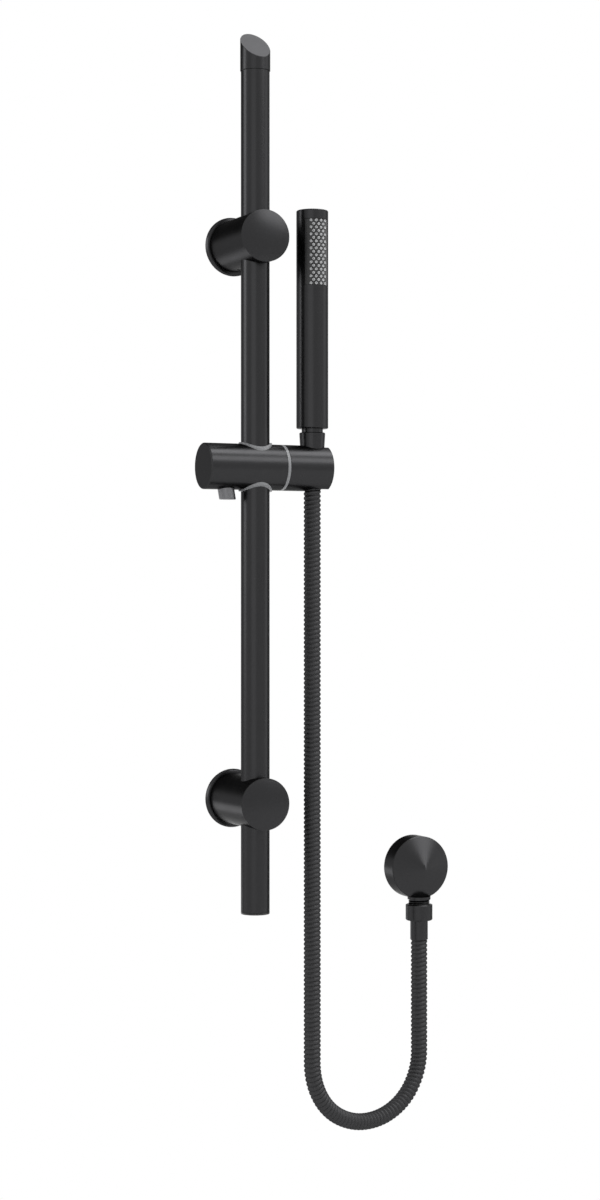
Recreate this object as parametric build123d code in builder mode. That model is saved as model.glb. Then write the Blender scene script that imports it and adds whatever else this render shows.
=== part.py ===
"""Shower slide rail with its slider, hand shower, hose and wall outlet.

Millimetres. X runs to the right along the wall, +Y points into the wall and Z is up.
The origin is the centre of the lower bracket's wall face.
"""

from build123d import *

import os
from math import cos, degrees, pi, radians, sin, sqrt, tan

os.makedirs("parts", exist_ok=True)

# Edges and allowances shared by several pieces
EDGE_FINE = 0.3
EDGE_SCREW = 0.8
THREAD_FIT = 0.05
PRESS_FIT = 0.1  # plugs and spigots in their bores
DEPTH_ROOM = 0.5  # past the end of a screw or spigot
CUT_ROOM = 1.0  # a cut runs this far past the piece

# Rail
RAIL_D = 25.0
RAIL_WALL = 1.5
RAIL_OUT = 51.0  # rail axis to the wall
RAIL_BOTTOM = -95.0
RAIL_LENGTH = 729.5
CAP_D = 26.1
CAP_HEIGHT = 22.9  # seam to the middle of the slanted face
CAP_SLANT = 44.0
CAP_SPIGOT = 14.0
PLUG_FLANGE = 1.6
PLUG_SPIGOT = 10.0
PLUG_EDGE = 0.5

# Brackets
BRACKET_SPACING = 489.0
BRACKET_D = 45.0
BRACKET_NOSE = 25.0  # rail axis to the front of the bracket
BRACKET_DOME = 2.8
BRACKET_FLAT_D = 3.0  # flat in the middle of the dome
BRACKET_EDGE = 1.2
BRACKET_WALL_GAP = 0.3
RAIL_FIT = 0.1  # rail in its brackets
RING_REACH = 3.5  # past the bracket's side
RING_D = BRACKET_D + 2 * RING_REACH
RING_T = 3.0
RING_FIT = 0.15
RING_EDGE = 0.7
BOSS_PLATE_D = 38.0
BOSS_PLATE_T = 4.0
BOSS_HUB_D = 14.0
BOSS_LENGTH = 26.0
BOSS_FIT = 0.1
BOSS_HOLE_D = 5.5
BOSS_HEAD_D = 9.0
BOSS_HOLE_SPACING = 26.4
BOSS_GROOVE_OUT = 17.0  # wall to the middle of the locking groove
BOSS_GROOVE_W = 6.8
BOSS_GROOVE_DEPTH = 1.6
GRUB_D = 6.0
GRUB_LENGTH = 9.0
GRUB_SOCKET = 3.0  # across flats
GRUB_TIP = 1.0
GRUB_SEAT = 0.2  # tip to the groove's floor
# Slider
SLIDER_Z = 291.0  # slider axis above the lower bracket
SLIDER_D = 40.0
SLIDER_LEFT = 48.7
SLIDER_RIGHT = 22.8
SLIDER_EDGE = 0.9
LINER_FIT = 0.12  # liner round the rail
LINER_WALL = 2.0
LINER_PROUD = 1.35
LINER_SEAT = 0.05
BRAKE_BORE_D = 18.0
BRAKE_BORE_END = 45.0
SHOE_FIT = 0.2
SHOE_GAP = 0.06  # shoe's hollow face off the rail
SHOE_LENGTH = 25.0
SHOE_FLAT = 1.0  # milled top above the slider axis
SHOE_NOSE = 9.0
SHOE_POCKET = 1.5
SHOE_WINGS = 4.0  # how far its hollow face wraps round the rail
SPRING_D = 8.0
SPRING_WIRE = 1.0
SPRING_TURNS = 4.5
SPRING_FIT = 0.3
SPRING_SEAT = 0.1

# Release button
BUTTON_D = 14.3
BUTTON_LEAN = 10.0
BUTTON_X = -27.5  # where its axis leaves the slider
BUTTON_PROUD = 8.5
BUTTON_TRAVEL = 3.5
BUTTON_GUIDE = 5.0
BUTTON_FIT = 0.15
BUTTON_CONE = 17.0  # half angle of its cam
BUTTON_STEP = 0.3  # guide to the foot of the cam
BUTTON_EDGE = 0.4
BUTTON_STEM_D = 6.0
CAM_GAP = 0.3
STEM_GAP = 1.25  # the shoe moves across the stem
CLIP_D = 9.6
CLIP_T = 1.2
CLIP_GAP = 0.2
STEM_TIP = 1.0
STEM_GROOVE = 0.8

# Swivel
SEPARATOR_T = 2.7
SWIVEL_GAP = 0.1
SWIVEL_SHAFT_D = 10.0
SWIVEL_SPIGOT = 6.0
SWIVEL_REACH = 16.4  # past the slider's end
SWIVEL_FIT = 0.05
SWIVEL_GROOVE_X = 10.2  # past the slider's end
SWIVEL_GROOVE_W = 4.6
SWIVEL_GROOVE_DEPTH = 1.4
SWIVEL_SOCKET = 6.0
SWIVEL_SOCKET_DEPTH = 4.5
SWIVEL_END_GAP = 0.8
SWIVEL_WASHER_D = 16.6
SWIVEL_WASHER_T = 1.2
HOLDER_GRUB_D = 4.0
HOLDER_GRUB_LENGTH = 8.0
HOLDER_GRUB_SOCKET = 2.0

# Holder and hose cone nut
HOLDER_LENGTH = 41.4
SOCKET_FROM_END = 12.4
SOCKET_FIT = 0.1
CONE_PROUD = 11.4  # above the top of the slider
CONE_TOP_D = 22.8
CONE_LENGTH = 49.4
CONE_HALF_ANGLE = 3.1
CONE_EDGE = 0.6
SLOT_PLAY = 1.3
HOLDER_EDGE = 0.9

# Hose and its ends
HOSE_D = 15.0
THREAD_D = 19.8  # half inch pipe thread, mean diameter
NECK_D = 18.6
NECK_SHOWN = 3.6
NECK_IN_NUT = 8.0
NECK_IN_BODY = 12.0
WATERWAY_D = 10.0
WASHER_T = 2.0
WASHER_BORE = 11.0
FLANGE_D = 18.8
FLANGE_T = 2.0
TAIL_D = 13.0
TAIL_FIT = 0.05
FERRULE_FIT = 0.1
RELIEF = 1.0  # neck's relief below the nut's top

# Hand shower
HANDSET_D = 28.0
HANDSET_LENGTH = 191.1
HANDSET_WALL = 2.6
HANDSET_TOP_WALL = 3.0
HANDSET_EDGE = 1.0
FACE_HALF_ANGLE = 54.0
FACE_HEIGHT = 58.0
FACE_FROM_TOP = 8.4
FACE_SINK = 0.5
FACE_T = 1.6
FACE_GAP = 0.2
MAT_T = 0.8
MAT_MARGIN = 3.0  # degrees inside the plate
NOZZLE_ROWS = 19
NOZZLE_PITCH = 3.05
NOZZLE_ANGLE = 19.7
NOZZLE_D = 3.2
NOZZLE_PROUD = 0.5
NOZZLE_FIT = 0.1

# Wall outlet
OUTLET_X = 178.9
OUTLET_Z = -68.6
OUTLET_D = 57.0
OUTLET_RIM = 17.4
OUTLET_CONE = 10.2
OUTLET_EDGE = 0.5
DROP_OUT = 14.5  # connector axis to the wall
CONNECTOR_COLLAR_D = 21.0
CONNECTOR_COLLAR_H = 2.4
CONNECTOR_INSET = 1.9  # its seat, in from the outlet's edge
CONNECTOR_SEAT = OUTLET_D / 2 - CONNECTOR_INSET  # below the outlet's centre
CONNECTOR_THREAD = 12.2
CONNECTOR_BORE_D = 13.0
OUTLET_WAY_D = 7.5
OUTLET_WAY_OUT = 12.0  # drilled behind the connector's axis, where the cone face leaves room
VALVE_LENGTH = 11.0
INLET_THREAD_D = 20.95
INLET_OUT = 14.0  # nipple past the wall face
INLET_IN = 9.0
INLET_BORE_D = 15.0
GASKET_OUTER_D = 50.0
GASKET_W = 6.0
GASKET_T = 3.0
GASKET_FIT = 0.2
COLLAR_FIT = 0.15
THREAD_EDGE = 0.6
VALVE_WALL = 1.5
VALVE_SEAT = 3.5
VALVE_STEPS = (3.0, 6.0)  # top of its seat and foot of the taper
LOWER_NUT_D = 24.5
LOWER_NUT_DROP = 7.2  # below the connector's seat
LOWER_NUT_TOP = CONNECTOR_SEAT + LOWER_NUT_DROP  # below the outlet's centre
LOWER_NUT_H = 14.2
LOWER_NUT_FLOOR = 2.8
LOWER_NUT_EDGE = 0.8
FERRULE_D = 16.05
FERRULE_SHOWN = 17.6

# Worked out from the sizes above
RAIL_R = RAIL_D / 2
RAIL_TOP = RAIL_BOTTOM + RAIL_LENGTH
TUBE_BORE_R = RAIL_R - RAIL_WALL
LINER_R = RAIL_R + LINER_FIT + LINER_WALL
SLIDER_R = SLIDER_D / 2
HOLDER_X = SLIDER_RIGHT + SEPARATOR_T
HOLDER_END = HOLDER_X + HOLDER_LENGTH
SOCKET_X = HOLDER_END - SOCKET_FROM_END
CONE_SLOPE = tan(radians(CONE_HALF_ANGLE))
CONE_TOP_Z = SLIDER_Z + SLIDER_R + CONE_PROUD
CONE_BOTTOM_Z = CONE_TOP_Z - CONE_LENGTH
THREAD_R = THREAD_D / 2
FLANGE_R = FLANGE_D / 2
HANDSET_R = HANDSET_D / 2
HANDSET_Z = CONE_TOP_Z + NECK_SHOWN
HANDSET_TOP_Z = HANDSET_Z + HANDSET_LENGTH
HANDSET_BORE_R = HANDSET_R - HANDSET_WALL
BUTTON_R = BUTTON_D / 2
STEM_R = BUTTON_STEM_D / 2
LEAN_SIN = sin(radians(BUTTON_LEAN))
LEAN_COS = cos(radians(BUTTON_LEAN))
CAM_SLOPE = tan(radians(BUTTON_CONE))

rail_plane = Plane(origin=(0, -RAIL_OUT, 0))
rail_axis = Axis((0, -RAIL_OUT, 0), (0, 0, 1))
slider_axis = Axis((0, -RAIL_OUT, SLIDER_Z), (1, 0, 0))
socket_axis = Axis((SOCKET_X, -RAIL_OUT, 0), (0, 0, 1))
drop_axis = Axis((OUTLET_X, -DROP_OUT, 0), (0, 0, 1))
outlet_axis = Axis((OUTLET_X, 0, OUTLET_Z), (0, -1, 0))


def upright(x, y):
    """The upright plane through a vertical axis, for profiles that are turned about it."""
    return Plane(origin=(x, y, 0), x_dir=(1, 0, 0), z_dir=(0, -1, 0))


def across(x, z=SLIDER_Z):
    """The plane across the slider at a given X, seen from its right end."""
    return Plane(origin=(x, -RAIL_OUT, z), x_dir=(0, 1, 0), z_dir=(1, 0, 0))


def from_wall(out, x=0.0, z=0.0):
    """The plane parallel to the wall at a given distance, facing the room."""
    return Plane(origin=(x, -out, z), x_dir=(1, 0, 0), z_dir=(0, -1, 0))


def on_face(angle, z, radius):
    """A plane that faces straight out of the handset at an angle from its front."""
    turn = radians(angle)
    out = (sin(turn), -cos(turn), 0)
    origin = (SOCKET_X + radius * out[0], -RAIL_OUT + radius * out[1], z)
    return Plane(origin=origin, x_dir=(0, 0, 1), z_dir=out)


def face_start(half_angle):
    """The upright plane at the left edge of the handset's spray face."""
    turn = radians(half_angle)
    return Plane(
        origin=(SOCKET_X, -RAIL_OUT, 0),
        x_dir=(-sin(turn), -cos(turn), 0),
        z_dir=(-cos(turn), sin(turn), 0),
    )


def cone_radius(z):
    """Radius of the tapered hose nut at a height."""
    return CONE_TOP_D / 2 - (CONE_TOP_Z - z) * CONE_SLOPE


# Rail tube
with BuildPart() as rail_tube:
    with BuildSketch(rail_plane.offset(RAIL_BOTTOM)):
        Circle(RAIL_R)
        Circle(TUBE_BORE_R, mode=Mode.SUBTRACT)
    extrude(amount=RAIL_LENGTH)
    chamfer(rail_tube.edges().filter_by(GeomType.CIRCLE).sort_by(SortBy.RADIUS)[-2:], EDGE_FINE)
rail_tube.part.label = "rail_tube"
export_step(rail_tube.part, "parts/rail_tube.step")

# Top cap, cut off at a slant that is low on the room side
with BuildPart() as rail_top_cap:
    with BuildSketch(rail_plane.offset(RAIL_TOP)):
        Circle(CAP_D / 2)
    extrude(amount=2 * CAP_HEIGHT)
    chamfer(rail_top_cap.faces().sort_by(Axis.Z)[0].edges(), EDGE_FINE)
    slant = Plane(
        origin=(0, -RAIL_OUT, RAIL_TOP + CAP_HEIGHT),
        x_dir=(1, 0, 0),
        z_dir=(0, -sin(radians(CAP_SLANT)), cos(radians(CAP_SLANT))),
    )
    split(bisect_by=slant, keep=Keep.BOTTOM)
    chamfer(rail_top_cap.faces().sort_by(Axis.Z)[-1].edges(), EDGE_FINE)
    with BuildSketch(rail_plane.offset(RAIL_TOP - CAP_SPIGOT)):
        Circle(TUBE_BORE_R - PRESS_FIT)
    extrude(amount=CAP_SPIGOT)
rail_top_cap.part.label = "rail_top_cap"
export_step(rail_top_cap.part, "parts/rail_top_cap.step")

# Bottom plug
with BuildPart() as rail_bottom_plug:
    with BuildSketch(rail_plane.offset(RAIL_BOTTOM - PLUG_FLANGE)):
        Circle(RAIL_R)
    extrude(amount=PLUG_FLANGE)
    fillet(rail_bottom_plug.faces().sort_by(Axis.Z)[0].edges(), PLUG_EDGE)
    with BuildSketch(rail_plane.offset(RAIL_BOTTOM)):
        Circle(TUBE_BORE_R - PRESS_FIT)
    extrude(amount=PLUG_SPIGOT)
rail_bottom_plug.part.label = "rail_bottom_plug"
export_step(rail_bottom_plug.part, "parts/rail_bottom_plug.step")

# Brackets: wall boss, cover ring, body and two grub screws on each
boss_bore_depth = BOSS_LENGTH + DEPTH_ROOM
grub_tip_r = BOSS_HUB_D / 2 - BOSS_GROOVE_DEPTH + GRUB_SEAT
clamp_out = RAIL_OUT - RAIL_R - THREAD_FIT
for side, bracket_z in (("lower", 0.0), ("upper", BRACKET_SPACING)):
    bracket_axis = Axis((0, 0, bracket_z), (0, -1, 0))
    profile_plane = Plane(origin=(0, 0, bracket_z), x_dir=(0, -1, 0), z_dir=(-1, 0, 0))

    with BuildPart() as wall_boss:
        with BuildSketch(from_wall(0, z=bracket_z)):
            Circle(BOSS_PLATE_D / 2)
        extrude(amount=BOSS_PLATE_T)
        with BuildSketch(from_wall(BOSS_PLATE_T, z=bracket_z)):
            Circle(BOSS_HUB_D / 2)
        extrude(amount=BOSS_LENGTH - BOSS_PLATE_T)
        chamfer(wall_boss.faces().sort_by(Axis.Y)[0].edges(), EDGE_SCREW)
        with BuildSketch(from_wall(BOSS_GROOVE_OUT - BOSS_GROOVE_W / 2, z=bracket_z)):
            Circle(BOSS_HUB_D / 2 + CUT_ROOM)
            Circle(BOSS_HUB_D / 2 - BOSS_GROOVE_DEPTH, mode=Mode.SUBTRACT)
        extrude(amount=BOSS_GROOVE_W, mode=Mode.SUBTRACT)
        with Locations(from_wall(BOSS_PLATE_T, z=bracket_z)):
            with GridLocations(0, BOSS_HOLE_SPACING, 1, 2):
                CounterSinkHole(BOSS_HOLE_D / 2, BOSS_HEAD_D / 2, depth=BOSS_PLATE_T)
    wall_boss.part.label = f"{side}_wall_boss"
    export_step(wall_boss.part, f"parts/{side}_wall_boss.step")

    with BuildPart() as wall_ring:
        with BuildSketch(from_wall(0, z=bracket_z)):
            Circle(RING_D / 2)
            Circle(BRACKET_D / 2 + RING_FIT, mode=Mode.SUBTRACT)
        extrude(amount=RING_T)
        chamfer(wall_ring.faces().sort_by(Axis.Y)[0].edges().sort_by(SortBy.LENGTH)[-1], RING_EDGE)
    wall_ring.part.label = f"{side}_wall_ring"
    export_step(wall_ring.part, f"parts/{side}_wall_ring.step")

    with BuildPart() as bracket_body:
        with BuildSketch(profile_plane) as body_profile:
            with BuildLine():
                body_r = BRACKET_D / 2
                body_out = RAIL_OUT + BRACKET_NOSE
                hollow_r = BOSS_PLATE_D / 2 + BRACKET_WALL_GAP
                hollow_out = BOSS_PLATE_T + DEPTH_ROOM
                hub_r = BOSS_HUB_D / 2 + BOSS_FIT
                wall_side = Polyline(
                    (boss_bore_depth, 0),
                    (boss_bore_depth, hub_r),
                    (hollow_out, hub_r),
                    (hollow_out, hollow_r),
                    (BRACKET_WALL_GAP, hollow_r),
                    (BRACKET_WALL_GAP, body_r),
                    (body_out - BRACKET_DOME, body_r),
                )
                dome_r = (body_r**2 + BRACKET_DOME**2) / (2 * BRACKET_DOME)
                half_r = body_r / 2
                half_out = body_out - dome_r + sqrt(dome_r**2 - half_r**2)
                flat_r = BRACKET_FLAT_D / 2
                flat_out = body_out - dome_r + sqrt(dome_r**2 - flat_r**2)
                ThreePointArc(wall_side @ 1, (half_out, half_r), (flat_out, flat_r))
                Polyline((flat_out, flat_r), (flat_out, 0), wall_side @ 0)
            make_face()
            rim = body_profile.vertices().sort_by_distance((0, -body_out, bracket_z + body_r))
            fillet(rim[0], BRACKET_EDGE)
        revolve(axis=bracket_axis)
        with BuildSketch(rail_plane.offset(bracket_z - body_r)):
            Circle(RAIL_R + RAIL_FIT)
        extrude(amount=2 * body_r, mode=Mode.SUBTRACT)
        with BuildSketch(from_wall(boss_bore_depth, z=bracket_z)):
            Circle(GRUB_D / 2 + THREAD_FIT)
        extrude(amount=RAIL_OUT - boss_bore_depth, mode=Mode.SUBTRACT)
        with BuildSketch(Plane(origin=(0, -BOSS_GROOVE_OUT, bracket_z - body_r))):
            Circle(GRUB_D / 2 + THREAD_FIT)
        extrude(amount=body_r, mode=Mode.SUBTRACT)
    bracket_body.part.label = f"{side}_bracket_body"
    export_step(bracket_body.part, f"parts/{side}_bracket_body.step")

    boss_grub_end = Plane(origin=(0, -BOSS_GROOVE_OUT, bracket_z - grub_tip_r - GRUB_LENGTH))
    with BuildPart() as boss_grub_screw:
        with BuildSketch(boss_grub_end):
            Circle(GRUB_D / 2)
        extrude(amount=GRUB_LENGTH)
        chamfer(boss_grub_screw.faces().sort_by(Axis.Z)[-1].edges(), GRUB_TIP)
        with BuildSketch(boss_grub_end):
            RegularPolygon(GRUB_SOCKET / 2, 6, major_radius=False)
        extrude(amount=GRUB_LENGTH / 2, mode=Mode.SUBTRACT)
    boss_grub_screw.part.label = f"{side}_boss_grub_screw"
    export_step(boss_grub_screw.part, f"parts/{side}_boss_grub_screw.step")

    rail_grub_end = from_wall(clamp_out - GRUB_LENGTH, z=bracket_z)
    with BuildPart() as rail_grub_screw:
        with BuildSketch(rail_grub_end):
            Circle(GRUB_D / 2)
        extrude(amount=GRUB_LENGTH)
        chamfer(rail_grub_screw.faces().sort_by(Axis.Y)[0].edges(), GRUB_TIP)
        with BuildSketch(rail_grub_end):
            RegularPolygon(GRUB_SOCKET / 2, 6, major_radius=False)
        extrude(amount=GRUB_LENGTH / 2, mode=Mode.SUBTRACT)
    rail_grub_screw.part.label = f"{side}_rail_grub_screw"
    export_step(rail_grub_screw.part, f"parts/{side}_rail_grub_screw.step")

# Release button geometry, shared by the slider, the shoe and the clip
button_origin = (BUTTON_X, -RAIL_OUT, SLIDER_Z - SLIDER_R)
button_plane = Plane(origin=button_origin, x_dir=(LEAN_COS, 0, LEAN_SIN), z_dir=(-LEAN_SIN, 0, LEAN_COS))
cam_start_r = BUTTON_R - BUTTON_STEP
cam_length = (cam_start_r - STEM_R) / CAM_SLOPE
clip_low = (SLIDER_R + SHOE_FLAT + CLIP_D / 2 * LEAN_SIN + CLIP_GAP) / LEAN_COS
stem_top = clip_low + CLIP_T + STEM_TIP
# The cam's flank leans this much from the vertical, so the shoe backs off by it as the button rises
flank = radians(BUTTON_CONE - BUTTON_LEAN)
SHOE_RATIO = LEAN_SIN + LEAN_COS * tan(flank)
shoe_retreat = BUTTON_TRAVEL * SHOE_RATIO

# Slider body
with BuildPart() as slider_body:
    with BuildSketch(across(-SLIDER_LEFT)):
        Circle(SLIDER_R)
    extrude(amount=SLIDER_LEFT + SLIDER_RIGHT)
    fillet(slider_body.faces().sort_by(Axis.X)[0].edges(), SLIDER_EDGE)
    chamfer(slider_body.faces().sort_by(Axis.X)[-1].edges(), EDGE_FINE)
    with BuildSketch(rail_plane.offset(SLIDER_Z - SLIDER_R)):
        Circle(LINER_R + LINER_SEAT)
    extrude(amount=SLIDER_D, mode=Mode.SUBTRACT)
    with BuildSketch(across(-BRAKE_BORE_END)):
        Circle(BRAKE_BORE_D / 2)
    extrude(amount=BRAKE_BORE_END + SLIDER_RIGHT, mode=Mode.SUBTRACT)
    with BuildSketch(button_plane.offset(-BUTTON_PROUD)):
        Circle(BUTTON_R + BUTTON_FIT)
    extrude(amount=BUTTON_PROUD + SLIDER_R, mode=Mode.SUBTRACT)
slider_body.part.label = "slider_body"
export_step(slider_body.part, "parts/slider_body.step")

# Grey liner: a sleeve with saddle-shaped ends that stand a little proud of the slider
with BuildPart() as rail_liner:
    with BuildSketch(across(-LINER_R - CUT_ROOM)):
        Circle(SLIDER_R + LINER_PROUD)
    extrude(amount=2 * (LINER_R + CUT_ROOM))
    with BuildSketch(rail_plane.offset(SLIDER_Z - SLIDER_D)):
        Circle(LINER_R)
    extrude(amount=2 * SLIDER_D, mode=Mode.INTERSECT)
    with BuildSketch(rail_plane.offset(SLIDER_Z - SLIDER_D)):
        Circle(RAIL_R + LINER_FIT)
    extrude(amount=2 * SLIDER_D, mode=Mode.SUBTRACT)
    with BuildSketch(across(-LINER_R - CUT_ROOM)):
        Circle(BRAKE_BORE_D / 2)
    extrude(amount=LINER_R + CUT_ROOM, mode=Mode.SUBTRACT)
rail_liner.part.label = "rail_liner"
export_step(rail_liner.part, "parts/rail_liner.step")

# Brake shoe: hollow face on the rail, milled top, tapered slot for the button's cam
shoe_front = -(RAIL_R + SHOE_GAP) + SHOE_WINGS
shoe_back = -(RAIL_R + SHOE_LENGTH)
slot_origin = (
    BUTTON_X - BUTTON_TRAVEL * LEAN_SIN + shoe_retreat,
    -RAIL_OUT,
    SLIDER_Z - SLIDER_R + BUTTON_TRAVEL * LEAN_COS,
)
slot_plane = Plane(origin=slot_origin, x_dir=button_plane.x_dir, z_dir=button_plane.z_dir)
slot_axis = Axis(slot_origin, button_plane.z_dir)
slot_length = (cam_start_r + CAM_GAP - STEM_R - STEM_GAP) / CAM_SLOPE
slot_profile = Plane(origin=slot_origin, x_dir=button_plane.x_dir, z_dir=(0, -1, 0))
with BuildPart() as brake_shoe:
    with BuildSketch(across(shoe_back)):
        Circle(BRAKE_BORE_D / 2 - SHOE_FIT)
    extrude(amount=shoe_front - shoe_back)
    with BuildSketch(rail_plane.offset(SLIDER_Z - BRAKE_BORE_D)):
        Circle(RAIL_R + SHOE_GAP)
    extrude(amount=2 * BRAKE_BORE_D, mode=Mode.SUBTRACT)
    with BuildSketch(Plane(origin=((shoe_back - RAIL_R - SHOE_NOSE) / 2, -RAIL_OUT, SLIDER_Z + SHOE_FLAT))):
        Rectangle(-RAIL_R - SHOE_NOSE - shoe_back, BRAKE_BORE_D)
    extrude(amount=BRAKE_BORE_D, mode=Mode.SUBTRACT)
    with BuildSketch(slot_profile):
        Polygon(
            (0, 0),
            (cam_start_r + CAM_GAP, 0),
            (cam_start_r + CAM_GAP, BUTTON_GUIDE),
            (STEM_R + STEM_GAP, BUTTON_GUIDE + slot_length),
            (STEM_R + STEM_GAP, stem_top + BUTTON_TRAVEL),
            (0, stem_top + BUTTON_TRAVEL),
            align=None,
        )
    revolve(axis=slot_axis, mode=Mode.SUBTRACT)
    with BuildSketch(across(shoe_back)):
        Circle(SPRING_D / 2 + SPRING_FIT)
    extrude(amount=SHOE_POCKET, mode=Mode.SUBTRACT)
brake_shoe.part.label = "brake_shoe"
export_step(brake_shoe.part, "parts/brake_shoe.step")

# Brake spring, between the shoe's pocket and the blind end of its bore
spring_from = -BRAKE_BORE_END + SPRING_WIRE / 2 + SPRING_SEAT
spring_to = shoe_back + SHOE_POCKET - SPRING_WIRE / 2 - SPRING_SEAT
with BuildPart() as brake_spring:
    with BuildLine() as coil:
        Helix(
            pitch=(spring_to - spring_from) / SPRING_TURNS,
            height=spring_to - spring_from,
            radius=(SPRING_D - SPRING_WIRE) / 2,
            center=(spring_from, -RAIL_OUT, SLIDER_Z),
            direction=(1, 0, 0),
        )
    with BuildSketch(Plane(origin=coil.line @ 0, z_dir=coil.line % 0)):
        Circle(SPRING_WIRE / 2)
    sweep()
brake_spring.part.label = "brake_spring"
export_step(brake_spring.part, "parts/brake_spring.step")

# Release button: guide, cam cone, stem and clip groove, its end cut level
with BuildPart() as release_button:
    with BuildSketch(Plane(origin=button_origin, x_dir=button_plane.x_dir, z_dir=(0, -1, 0))):
        Polygon(
            (0, -2 * BUTTON_PROUD),
            (BUTTON_R, -2 * BUTTON_PROUD),
            (BUTTON_R, BUTTON_GUIDE - BUTTON_STEP),
            (cam_start_r, BUTTON_GUIDE),
            (STEM_R, BUTTON_GUIDE + cam_length),
            (STEM_R, clip_low),
            (STEM_R - STEM_GROOVE, clip_low),
            (STEM_R - STEM_GROOVE, clip_low + CLIP_T),
            (STEM_R, clip_low + CLIP_T),
            (STEM_R, stem_top),
            (0, stem_top),
            align=None,
        )
    revolve(axis=Axis(button_origin, button_plane.z_dir))
    split(bisect_by=Plane(origin=(0, 0, SLIDER_Z - SLIDER_R - BUTTON_PROUD)), keep=Keep.TOP)
    chamfer(release_button.faces().sort_by(Axis.Z)[0].edges(), BUTTON_EDGE)
release_button.part.label = "release_button"
export_step(release_button.part, "parts/release_button.step")

with BuildPart() as button_clip:
    with BuildSketch(button_plane.offset(clip_low)):
        Circle(CLIP_D / 2)
        Circle(STEM_R - STEM_GROOVE + THREAD_FIT, mode=Mode.SUBTRACT)
        with Locations((CLIP_D / 2, 0)):
            Rectangle(CLIP_D, STEM_R, mode=Mode.SUBTRACT)
    extrude(amount=CLIP_T)
button_clip.part.label = "button_clip"
export_step(button_clip.part, "parts/button_clip.step")

# Separator ring
with BuildPart() as separator_ring:
    with BuildSketch(across(SLIDER_RIGHT)):
        Circle(SLIDER_R)
        Circle(SWIVEL_SHAFT_D / 2 + SWIVEL_FIT, mode=Mode.SUBTRACT)
    extrude(amount=SEPARATOR_T - SWIVEL_GAP)
separator_ring.part.label = "separator_ring"
export_step(separator_ring.part, "parts/separator_ring.step")

# Swivel axle, screwed into the slider, with a locking groove
with BuildPart() as swivel_axle:
    with BuildSketch(across(SLIDER_RIGHT - SWIVEL_SPIGOT)):
        Circle(BRAKE_BORE_D / 2 - THREAD_FIT)
    extrude(amount=SWIVEL_SPIGOT)
    with BuildSketch(across(SLIDER_RIGHT)):
        Circle(SWIVEL_SHAFT_D / 2)
    extrude(amount=SWIVEL_REACH)
    chamfer(swivel_axle.faces().sort_by(Axis.X)[-1].edges(), EDGE_SCREW)
    with BuildSketch(across(SLIDER_RIGHT + SWIVEL_GROOVE_X - SWIVEL_GROOVE_W / 2)):
        Circle(SWIVEL_SHAFT_D)
        Circle(SWIVEL_SHAFT_D / 2 - SWIVEL_GROOVE_DEPTH, mode=Mode.SUBTRACT)
    extrude(amount=SWIVEL_GROOVE_W, mode=Mode.SUBTRACT)
    with BuildSketch(across(SLIDER_RIGHT - SWIVEL_SPIGOT)):
        RegularPolygon(SWIVEL_SOCKET / 2, 6, major_radius=False)
    extrude(amount=SWIVEL_SOCKET_DEPTH, mode=Mode.SUBTRACT)
swivel_axle.part.label = "swivel_axle"
export_step(swivel_axle.part, "parts/swivel_axle.step")

with BuildPart() as swivel_washer:
    with BuildSketch(across(HOLDER_X - SWIVEL_GAP)):
        Circle(SWIVEL_WASHER_D / 2)
        Circle(SWIVEL_SHAFT_D / 2 + SWIVEL_FIT, mode=Mode.SUBTRACT)
    extrude(amount=SWIVEL_WASHER_T)
swivel_washer.part.label = "swivel_washer"
export_step(swivel_washer.part, "parts/swivel_washer.step")

# Holder body: axle bore on the left, tapered socket open to the right end
groove_x = SLIDER_RIGHT + SWIVEL_GROOVE_X
socket_low = SLIDER_Z - SLIDER_R - CUT_ROOM
socket_high = SLIDER_Z + SLIDER_R + CUT_ROOM
with BuildPart() as holder_body:
    with BuildSketch(across(HOLDER_X)):
        Circle(SLIDER_R)
    extrude(amount=HOLDER_LENGTH)
    fillet(holder_body.faces().sort_by(Axis.X)[-1].edges(), HOLDER_EDGE)
    chamfer(holder_body.faces().sort_by(Axis.X)[0].edges(), EDGE_FINE)
    with BuildSketch(across(HOLDER_X)):
        Circle(SWIVEL_SHAFT_D / 2 + SWIVEL_FIT)
    extrude(amount=SWIVEL_REACH - SEPARATOR_T + SWIVEL_END_GAP, mode=Mode.SUBTRACT)
    with BuildSketch(across(HOLDER_X)):
        Circle(SWIVEL_WASHER_D / 2 + SWIVEL_GAP)
    extrude(amount=SWIVEL_WASHER_T + SWIVEL_GAP, mode=Mode.SUBTRACT)
    with BuildSketch(upright(SOCKET_X, -RAIL_OUT)):
        Polygon(
            (0, socket_low),
            (cone_radius(socket_low) + SOCKET_FIT, socket_low),
            (cone_radius(socket_high) + SOCKET_FIT, socket_high),
            (0, socket_high),
            align=None,
        )
    revolve(axis=socket_axis, mode=Mode.SUBTRACT)
    with BuildSketch(Plane(origin=(SOCKET_X + HOLDER_LENGTH / 2, -RAIL_OUT, socket_low))):
        Rectangle(HOLDER_LENGTH, HOSE_D + SLOT_PLAY)
    extrude(amount=socket_high - socket_low, mode=Mode.SUBTRACT)
    with BuildSketch(Plane(origin=(groove_x, -RAIL_OUT, SLIDER_Z), x_dir=(1, 0, 0), z_dir=(0, 1, 0))):
        Circle(HOLDER_GRUB_D / 2 + THREAD_FIT)
    extrude(amount=SLIDER_R, mode=Mode.SUBTRACT)
holder_body.part.label = "holder_body"
export_step(holder_body.part, "parts/holder_body.step")

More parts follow.
